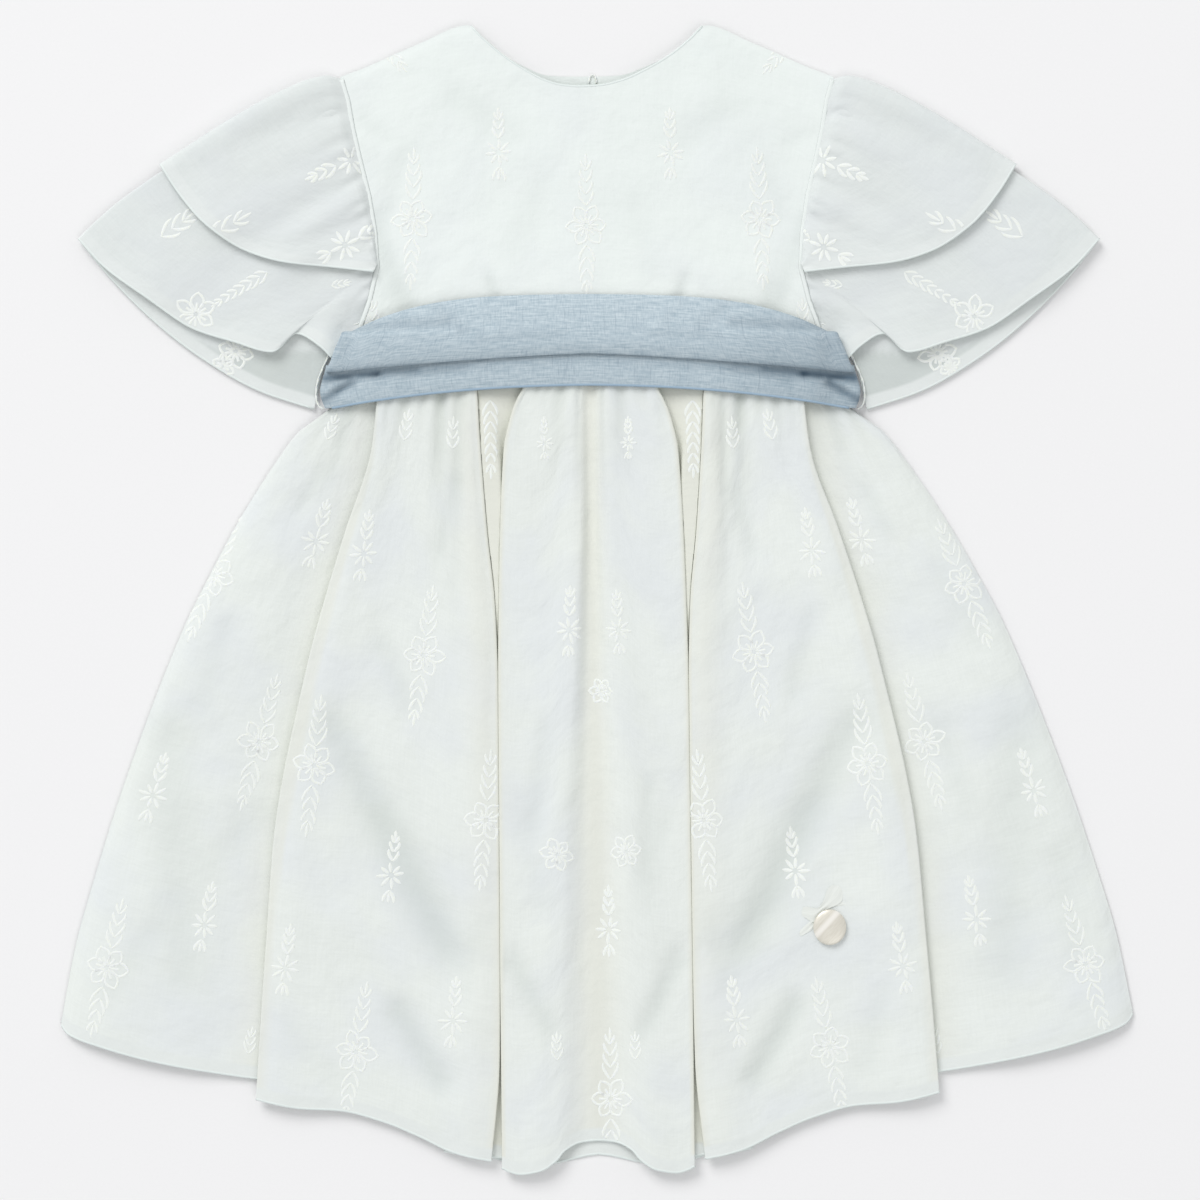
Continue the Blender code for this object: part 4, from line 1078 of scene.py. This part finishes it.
def stitch(parts, find, line, width, tapered, wall):
    """One stitch or outline along a line of the pattern, as far as the cloth goes."""
    path = []
    normals = []
    widths = []
    for i, (x, y) in enumerate(line):
        found = find(x, y)
        if found is None:
            if len(path) > 2:
                break
            path, normals, widths = [], [], []
            continue
        place, normal = found
        share = i / (len(line) - 1)
        path.append(tuple(place + normal * (wall / 2 + 0.1 * STITCH_HEIGHT)))
        normals.append(normal)
        widths.append(width * (0.35 + 0.65 * math.sin(math.pi * share) ** 0.6) if tapered else width)
    if len(path) > 2:
        strip(parts, path, normals, widths, STITCH_HEIGHT)


def turned_by(points, x, y, degrees, size):
    """Pattern points turned clockwise round their own middle, sized and put in place."""
    angle = math.radians(degrees)
    return [
        (x + size * (u * math.cos(angle) + v * math.sin(angle)),
         y + size * (v * math.cos(angle) - u * math.sin(angle))) for u, v in points]


def petal(length, width):
    """A pointed petal, up one side and down the other, widest a little past its middle."""
    side = [
        (width / 2 * math.sin(math.pi * t ** 1.15) ** 0.85, PETAL_START + (length - PETAL_START) * t)
        for t in even(0.0, 1.0, 8)]
    return side + [(-u, v) for u, v in reversed(side[:-1])]


def leaf(base_v, side, length, up):
    """A curved leaf stitch from the stem, up or down it."""
    spread = side * length * LEAF_SPREAD
    return [(spread * math.sin(LEAF_CURVE * t), base_v + up * length * t) for t in even(0.0, 1.0, 7)]


def leaves(count, start, up, length, step):
    """Pairs of leaves along the stem, smaller towards its end, and a last one straight on."""
    lines = []
    for i in range(count):
        base = start + up * step * i
        reach = length * (1.0 - 0.48 * i / count) * needle.uniform(0.92, 1.08)
        lines += [leaf(base, -1, reach, up), leaf(base, 1, reach * needle.uniform(0.9, 1.1), up)]
    base = start + up * step * (count - 0.7)
    lines.append([(0.0, base + up * 0.8 * length * t) for t in even(0.0, 1.0, 5)])
    return lines


def motif_lines(kind):
    """The outlines and the filled stitches of one motif round its own middle."""
    outlines = []
    filled = []
    if kind in ("sprig", "flower"):
        start = needle.uniform(-8.0, 8.0)
        for i in range(6):
            shape = petal(PETAL_LENGTH * needle.uniform(0.88, 1.08), PETAL_WIDTH * needle.uniform(0.9, 1.1))
            angle = start + 60.0 * i + 30.0 + needle.uniform(-5, 5)
            vein = [(0.0, PETAL_START + 4.2 * t) for t in even(0.0, 1.0, 4)]
            outlines += [turned_by(shape, 0.0, 0.0, angle, 1.0), turned_by(vein, 0.0, 0.0, angle, 1.0)]
    if kind == "sprig":
        filled += leaves(4, PETAL_LENGTH - 0.6, 1, LEAF_LENGTH, LEAF_STEP)
        filled += leaves(4, -PETAL_LENGTH + 0.6, -1, LEAF_LENGTH, LEAF_STEP)
    if kind == "daisy":
        start = needle.uniform(-12.0, 12.0)
        for i in range(8):
            length = DAISY_PETAL * needle.uniform(0.85, 1.1)
            shape = [(0.0, 1.3 + length * t) for t in even(0.0, 1.0, 5)]
            filled.append(turned_by(shape, 0.0, 0.0, start + 45.0 * i + needle.uniform(-7, 7), 1.0))
        filled += leaves(3, DAISY_PETAL + 1.4, 1, DAISY_LEAF, DAISY_LEAF_STEP)
        filled += leaves(1, -DAISY_PETAL - 1.6, -1, DAISY_LEAF, DAISY_LEAF_STEP)
    if kind == "chain":
        filled += leaves(7, 0.0, -1, LEAF_LENGTH, LEAF_STEP)
    if kind == "spray":
        filled += leaves(3, -5.0, 1, LEAF_LENGTH, LEAF_STEP)
    return outlines, filled


def embroider(parts, find, motif, wall):
    outlines, filled = motif_lines(motif.kind)
    for line in outlines:
        placed = turned_by(line, motif.x, motif.y, motif.lean, motif.size)
        stitch(parts, find, placed, OUTLINE_WIDTH, False, wall)
    width = DAISY_PETAL_WIDTH if motif.kind == "daisy" else LEAF_WIDTH
    for line in filled:
        placed = turned_by(line, motif.x, motif.y, motif.lean, motif.size)
        stitch(parts, find, placed, width * math.sqrt(motif.size), True, wall)


FOLD_POINTS = 9
centre_rows = []
panel_rows = {1: [], -1: []}
side_rows = {1: [], -1: []}
under_rows = {1: [], -1: []}
for right, left in zip(skirt_halves[1], skirt_halves[-1]):
    centre_rows.append(whole(*(half[0] + half[1][:FOLD_POINTS] for half in (right, left))))
    for hand, half in ((1, right), (-1, [mirrored(stretch) for stretch in left])):
        panel_rows[hand].append(half[3][-FOLD_POINTS:] + half[4] + half[5][:FOLD_POINTS])
        side_rows[hand].append(half[6])
        under_rows[hand].append(half[2])

charts = {
    "centre": chart(centre_rows, 1, rolled=True),
    "bodice": chart(bodice_front_rows, 1),
    "skirt_back": chart(skirt_back_rows, -1),
}
for hand, side_name in HANDS.items():
    charts["panel_" + side_name] = chart(panel_rows[hand], 1, rolled=True)
    charts["side_" + side_name] = chart(side_rows[hand], 1)
    charts["under_" + side_name] = chart(under_rows[hand], 1)
    charts["bodice_back_" + side_name] = chart(bodice_back_rows[hand], -1)
    for tier_name in SLEEVES:
        rows = sleeve_rows["sleeve_" + tier_name + "_" + side_name]
        charts[tier_name + "_" + side_name] = chart(rows, 1, last=SLEEVE_FRONT_COLUMNS - 1)
    rows = sleeve_rows["sleeve_lower_" + side_name]
    charts["back_" + side_name] = chart(rows, 1, first=SLEEVE_FRONT_COLUMNS + 10)

EMBROIDERED = {
    "skirt_front_embroidery": ["centre", "panel_right", "panel_left", "side_right", "side_left",
                               "under_right", "under_left"],
    "bodice_front_embroidery": ["bodice"],
    "sleeve_upper_right_embroidery": ["upper_right"],
    "sleeve_upper_left_embroidery": ["upper_left"],
    "sleeve_lower_right_embroidery": ["lower_right", "back_right"],
    "sleeve_lower_left_embroidery": ["lower_left", "back_left"],
}
for name, cloths in EMBROIDERED.items():
    parts = ([], [])
    wall = SHEER_WALL if name.startswith("sleeve") else WALL
    for motif in MOTIFS:
        if motif.cloth in cloths:
            embroider(parts, charts[motif.cloth], motif, wall)
    joined(name, parts, cotton_thread, smooth=False)

# The back has the same repeat: sprigs and daisies in turn down each line of the cloth
BACK_LINES = 9
BACK_LINE_MOTIFS = 6
BACK_TOP = 88.0
BACK_BOTTOM = -235.0
BACK_LINE_STEP = 50.0
BACK_ROW_STEP = 62.0
BACK_MOTIFS = [("sprig", 80, 176), ("daisy", 40, 208), ("daisy", 34, 142), ("spray", 74, 238)]
parts = ([], [])
for column in range(BACK_LINES):
    for row in range(BACK_LINE_MOTIFS):
        side = column - (BACK_LINES - 1) / 2
        y = BACK_TOP - BACK_ROW_STEP * (row + 0.5 * (column % 2))
        x = side * BACK_LINE_STEP * mix(0.42, 1.0, clamp((110.0 - y) / 320.0)) * 1.02
        kind = "sprig" if (row + column // 2) % 2 == 0 else "daisy"
        if y > BACK_BOTTOM:
            embroider(parts, charts["skirt_back"], Motif(kind, "skirt_back", x, y, -4.6 * side, 1.0), WALL)
joined(
    "skirt_back_embroidery", parts, cotton_thread, smooth=False)
for hand, side_name in HANDS.items():
    parts = ([], [])
    for kind, x, y in BACK_MOTIFS:
        spot = Motif(kind, "bodice_back", hand * x, y, 0.0, 1.0)
        embroider(parts, charts["bodice_back_" + side_name], spot, WALL)
    name = "bodice_back_" + side_name + "_embroidery"
    joined(name, parts, cotton_thread, smooth=False)

# Sash: a band of blue chambray linen, doubled over and wrapped flat round the waist. The
# upper part laps over the lower one and its ends draw together at the side loops.
Band = namedtuple("Band", "centre_y side_y bend side_x rise back_y")
SASH_BANDS = named(Band, [
    (98.7, 89.3, 2.2, 122, 0.1, 93),
    (99.6, 90.2, 2.2, 122.4, 0.4, 93.6),
    (102.5, 93.4, 1.9, 123.6, 0.8, 97),
    (106.5, 97.4, 1.7, 124.2, 0.8, 100),
    (110.5, 101.4, 1.5, 123.4, 0.4, 104),
    (114.6, 105.2, 1.4, 122.2, -0.1, 106.5),
    (117.4, 107.6, 1.4, 121.6, 0, 107.4),
    (118.2, 108.6, 1.4, 121.5, 0.5, 107.6),
    (116.8, 107.8, 1.4, 121.4, 1, 107.8),
    (114.4, 106.6, 1.4, 121.4, 1.2, 107.9),
    (113.3, 106, 1.4, 121.4, 1.6, 108),
    (113.3, 106.1, 1.4, 121.2, 2.1, 108.3),
    (114.6, 107.4, 1.4, 120.9, 2.75, 109),
    (117.2, 110.6, 1.3, 119.2, 3.5, 111.5),
    (120.6, 115.6, 1.2, 117.4, 3.9, 114),
    (124, 121, 1, 114.9, 3.8, 118),
    (128.5, 123.4, 2, 114, 3.3, 121.5),
    (134.5, 123.9, 3, 113.2, 2.4, 125),
    (138.8, 124.1, 3.5, 112.7, 1.2, 127.5),
    (140.1, 124.2, 3.6, 112.6, 0.2, 128),
])
SASH_CLEARANCE = 1.5
SASH_SIDE_LEVEL = 6.4
SASH_COLUMNS = 121
SASH_BACK_COLUMNS = 61
SASH_SIDE_FROM = 101.0
SASH_CLIMB_FROM = 128.0
SASH_CLIMB_OVER = 12.0
SASH_CREASES = named(Crease, [
    (0, 124, 92.6, 110, 100.6, 2.6, 2.2), (0, 121, 97.6, 108, 103, -0.9, 1.6),
    (0, 121, 102.8, 98, 104.6, 1.7, 1.9), (0, 98, 104.6, 80, 106.4, 0.9, 2.2),
    (0, 112, 126.4, 66, 127.2, 1, 2.6), (0, 113, 122.8, 62, 123.2, -0.5, 1.8),
    (-1, 74, 138, 58, 124, 0.5, 3), (1, 66, 138.5, 52, 126, 0.5, 3), (-1, 52, 137.5, 44, 124, -0.4, 3),
    (1, 40, 139, 30, 126, -0.4, 3), (-1, 84, 103, 58, 106.4, 0.5, 2.2), (1, 92, 101.5, 66, 106, 0.5, 2.2),
    (1, 60, 120, 30, 121.5, 0.4, 2.6), (-1, 50, 119, 14, 120.5, 0.4, 2.6),
])


def sash_level(x, y):
    """Height of the sash, clear above the bodice and the gathered top of the skirt."""
    over_bodice = FRONT_LEVEL + lift(y) + BODICE_CROWN + SASH_CLEARANCE
    over_skirt = FRONT_LEVEL + SASH_LIFT + LAYER_STEP + SKIRT_ROWS[2].roll + SASH_CLEARANCE
    inner = mix(over_bodice, over_skirt, ease((SASH_CLIMB_FROM - y) / SASH_CLIMB_OVER))
    return mix(inner, SASH_SIDE_LEVEL, ease((abs(x) - SASH_SIDE_FROM) / SASH_CLIMB_OVER))


def sash_row(band):
    """One line of cloth round the waist, closed at the side turn on the left."""
    reach = band.side_x
    for _ in range(4):
        radius = (sash_level(reach, band.side_y) + band.rise - BACK_LEVEL) / 2
        reach = band.side_x - WALL / 2 - radius
    row = []
    for share in even(-1.0, 1.0, SASH_COLUMNS):
        x = reach * share
        y = mix(band.centre_y, band.side_y, abs(share) ** band.bend)
        sink = pressed(SASH_CREASES, x, y) * ease((1.0 - abs(share)) / 0.04)
        row.append((x, y, sash_level(x, y) + band.rise - sink))
    side = turn(band.side_x, sash_level(reach, band.side_y) + band.rise, BACK_LEVEL, 1, 12)[1:-1]
    row += [(x, band.side_y, z) for x, z in side]
    for share in even(1.0, -1.0, SASH_BACK_COLUMNS):
        row.append((reach * share, mix(band.back_y, band.side_y, share * share), BACK_LEVEL))
    row += [(-x, band.side_y, z) for x, z in reversed(side)]
    row.append(row[0])
    return row


def sash_painted_shade(x, y):
    """Painted shade on the sash: in its creases, at its drawn-in ends, over its lower part, towards its
    right end, and most in the strip just under the lap, where little light reaches.
    """
    ends = ease((abs(x) - 96.0) / 26.0)
    doubled = ease((129.0 - y) / 6.0)
    lap = mix(113.4, 106.0, clamp(abs(x) / 121.0) ** 1.4)
    under_lap = bump(y - lap + 2.6, 2.8) * mix(0.14, 0.36, ease((abs(x) - 30.0) / 60.0))
    far_side = ease((x - 50.0) / 50.0)
    return 0.18 * pressed(SASH_CREASES, x, y) + 0.05 * ends + 0.1 * doubled + 0.14 * far_side + under_lap


def through(points, steps):
    """A smooth line through a short list of places, or smooth rows through a table's."""
    fine = []
    for i in range(len(points) - 1):
        around = [points[max(i - 1, 0)], points[i], points[i + 1], points[min(i + 2, len(points) - 1)]]
        for t in [j / steps for j in range(steps)]:
            fine.append(tuple(
                0.5 * (2 * b + (c - a) * t + (2 * a - 5 * b + 4 * c - d) * t ** 2
                       + (3 * b - a - 3 * c + d) * t ** 3)
                for a, b, c, d in zip(*around)))
    return fine + [points[-1]]


# Chambray linen: blue warp and pale weft, slubbed both ways. Its threads stand 0.5 mm
# apart, drawn 0.8 mm apart so that they show.
def chambray(name, light, dark, slub_colour):
    surface = start_material(name, 0.85, {"Sheen Weight": 0.15, "Specular IOR Level": 0.25})
    place = cloth_place(surface)

    def threads(fine, long, seed):
        scale = (1.0 / (fine * MM), 1.0 / (long * MM), 1.0)
        drawn = mapped(surface, place, scale, Location=(seed, seed, 0.0))
        return noise(surface, drawn, 1.0, 2.0, {"noise_dimensions": "2D"}, Roughness=0.6)

    weft = threads(9.0, 0.75, 3.0)
    softer_warp = sum_of(surface, "MULTIPLY_ADD", threads(0.75, 3.0, 7.0), 0.6, 0.2)
    woven = sum_of(surface, "ADD", weft, softer_warp)
    tint = mixed(surface, ranged(surface, woven, (0.72, 1.28)), dark, light)
    slub = ranged(surface, threads(0.9, 16.0, 11.0), (0.25, 0.38), (0.4, 0.0))
    slubbed = mixed(surface, slub, tint, slub_colour)
    # Painted shade: the linen is drawn a darker blue wherever its shade attribute says shade falls.
    painted_shade_share = add_node(surface, "ShaderNodeAttribute", {"attribute_name": "painted_shade"}).outputs["Fac"]
    to_shader(surface, mixed(surface, painted_shade_share, slubbed, "4c6172"), relief(surface, 0.5, 0.0003, woven))
    return surface


blue_linen = chambray("blue_chambray_linen", "ccd8de", "a8b9c3", "8c9dab")
linen_hem = chambray("blue_chambray_hem", "aabfd0", "8fa8bc", "8496a6")
sash_rows = [sash_row(Band(*line)) for line in through(SASH_BANDS, 5)]
sash = cut_cloth(
    "sash_cloth", sash_rows, WALL, blue_linen, ring=True, shades={"painted_shade": sash_painted_shade})
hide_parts("sash")
sash_front = [(x, y, z + 0.1) for x, y, z in sash_rows[0][:SASH_COLUMNS]]
sash_hem = hem_bead("sash_hem", sash_front, linen_hem, 1.3, 1.0)

# Loops: a chain of white thread at each side seam that the sash passes through, and a
# smaller one for the button at the back of the neck.
LOOP_TWIST = 0.22
LOOP_TURN = 0.9
STRAND_WIDTH = 0.7
STRAND_HEIGHT = 0.6
BELT_LOOP = [
    (106.4, 128.0, 3.0), (112.6, 126.2, 3.0), (117.4, 119.6, 3.0), (121.2, 111.6, 3.0), (125.0, 103.0, 3.0),
    (126.2, 96.0, 3.2), (125.3, 91.0, 3.4), (123.0, 88.9, 3.6),
]
NECK_LOOP = [(0.9, 238.0, 1.2), (1.4, 240.6, 1.3), (2.6, 241.6, 1.3), (3.8, 240.5, 1.3), (4.2, 237.8, 1.2)]


def thread_loop(name, path, node):
    parts = ([], [])
    line = through(path, 6)
    for strand in (0, 1):
        twisted = []
        for i, (x, y, z) in enumerate(line):
            angle = LOOP_TURN * i + math.pi * strand
            aside = math.cos(angle)
            twisted.append((x + LOOP_TWIST * aside, y + 0.1 * aside, z + LOOP_TWIST * math.sin(angle)))
        count = len(twisted)
        strip(parts, twisted, [(0.0, 0.0, 1.0)] * count, [STRAND_WIDTH] * count, STRAND_HEIGHT, 6)
    piece = joined(name, parts, cotton_thread)
    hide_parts(node)
    return piece


thread_loop("belt_loop_right_thread", BELT_LOOP, "belt_loop_right")
thread_loop("belt_loop_left_thread", mirrored(BELT_LOOP), "belt_loop_left")
thread_loop("neck_loop_thread", NECK_LOOP, "neck_loop")

# Charm: a small domed disc of pale brushed metal on a bow of ivory satin ribbon, sewn to the
# right panel of the skirt.
CHARM_ACROSS = 0.594
CHARM_DOWN = 0.760
DISC_HALF_WIDTH = 7.6
DISC_HALF_HEIGHT = 8.2
DISC_RISE = 1.5
DISC_LIFT = 0.9
KNOT_LEFT = 3.1
KNOT_ABOVE = 8.8
charm_x, charm_y, charm_z = panel_point(CHARM_ACROSS, CHARM_DOWN, 1)
charm_place = laid((charm_x, charm_y, charm_z + 1.0))

# Pale champagne metal: satin brushed, with a painted highlight as one broad diagonal band across it
pale_metal = start_material("brushed_champagne_metal", 0.4, {"Metallic": 0.35})
centred = add_node(pale_metal, "ShaderNodeMapping", {"vector_type": "TEXTURE"}, {
    "Vector": object_place(pale_metal), "Rotation": (0.0, 0.0, math.radians(-43.0))}).outputs["Vector"]
scratches = noise(pale_metal, mapped(pale_metal, centred, (1900.0, 260.0, 200.0)), 1.0, 3.0)
brushed = mixed(pale_metal, scratches, "d6d0c2", "f1ede2")
across_disc = add_node(pale_metal, "ShaderNodeSeparateXYZ", links={"Vector": centred}).outputs["X"]
# Painted highlight: a pale diagonal band across the disc, standing for a lamp's reflection.
from_painted_highlight = sum_of(pale_metal, "ABSOLUTE", sum_of(pale_metal, "ADD", across_disc, 0.0021))
painted_highlight = ranged(pale_metal, from_painted_highlight, (0.0003, 0.0021), (1.0, 0.0), "SMOOTHSTEP")
to_shader(pale_metal, mixed(pale_metal, painted_highlight, brushed, "fcf8f0"),
          relief(pale_metal, 0.3, 0.0001, scratches))

deselect()
bpy.ops.mesh.primitive_uv_sphere_add(segments=48, ring_count=24, radius=MM, location=charm_place)
disc = bpy.context.object
disc.name = "charm_disc_dome"
disc.scale = (DISC_HALF_WIDTH, DISC_HALF_HEIGHT, DISC_RISE)
bpy.ops.object.transform_apply(location=False, rotation=False, scale=True)
bpy.ops.transform.translate(value=(0.0, 0.0, DISC_LIFT * MM))
bpy.ops.object.shade_smooth()
disc.data.materials.append(pale_metal)
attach(disc, "root")
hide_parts("charm_disc")

# Ivory satin: smooth and glossy, with its threads running along the ribbon
ivory_satin = start_material("ivory_satin_ribbon", 0.38, {"Sheen Weight": 0.3})
satin_threads = mapped(ivory_satin, cloth_place(ivory_satin), (2500.0, 150.0, 1.0))
satin_grain = noise(ivory_satin, satin_threads, 1.0, 2.0, {"noise_dimensions": "2D"})
to_shader(ivory_satin, mixed(ivory_satin, satin_grain, "dfe3dd", "eff1ec"))

# Two loops and two tails of one ribbon drawn together at the top of the disc: where each
# middle line ends, how it bends aside on the way, its widths and height
Blade = namedtuple("Blade", "x y bend start_width end_width rise loop")
BLADES = named(Blade, [
    (-9.6, -2.6, 1.9, 3, 7.4, 0.5, True), (7.8, 9.6, -0.8, 3.4, 8.4, 0.6, True),
    (12.4, 1.8, 0.9, 2.6, 2, 0.3, False), (-10.6, -12.6, 1, 1.8, 3.4, 0.2, False),
])
RIBBON_WALL = 0.2
RIBBON_LIFT = 0.25
knot_x = charm_x - KNOT_LEFT
knot_y = charm_y + KNOT_ABOVE
ribbons = []
for number, blade in enumerate(BLADES):
    length = math.hypot(blade.x, blade.y)
    along_x = blade.x / length
    along_y = blade.y / length
    rows = []
    # A loop runs out on top and back beneath, a tail only runs out
    for out in even(0.0, 1.0, 33 if blade.loop else 17):
        reach = (1.0 - abs(2.0 * out - 1.0)) if blade.loop else out
        height = RIBBON_LIFT + blade.rise * (0.5 + 0.5 * math.sin(math.pi * min(1.1 * reach, 1.0)))
        if blade.loop and out > 0.5:
            height -= 0.55 * blade.rise * ease(1.0 - reach) + 0.25
        width = mix(blade.start_width, blade.end_width, ease(1.3 * reach))
        width *= 1.0 - 0.25 * ease((reach - 0.8) / 0.2)
        bend = blade.bend * math.sin(math.pi * reach)
        row = []
        for side in even(-0.5, 0.5, 11):
            ridges = 0.16 * math.cos(side * 11.0 + number) * (1.0 - 0.6 * reach)
            rounded = length * reach - 1.6 * (2.0 * side) ** 2 * reach
            row.append((
                knot_x + along_x * rounded - along_y * (width * side + bend),
                knot_y + along_y * rounded + along_x * (width * side + bend),
                charm_z + height + ridges))
        rows.append(row)
    ribbons.append(cut_cloth("charm_ribbon_" + str(number), rows, RIBBON_WALL, ivory_satin))
deselect()
for ribbon in ribbons:
    ribbon.select_set(True)
bpy.context.view_layer.objects.active = ribbons[0]
bpy.ops.object.join()
bow = ribbons[0]
bow.name = "charm_ribbon_bow"
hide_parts("charm_bow")
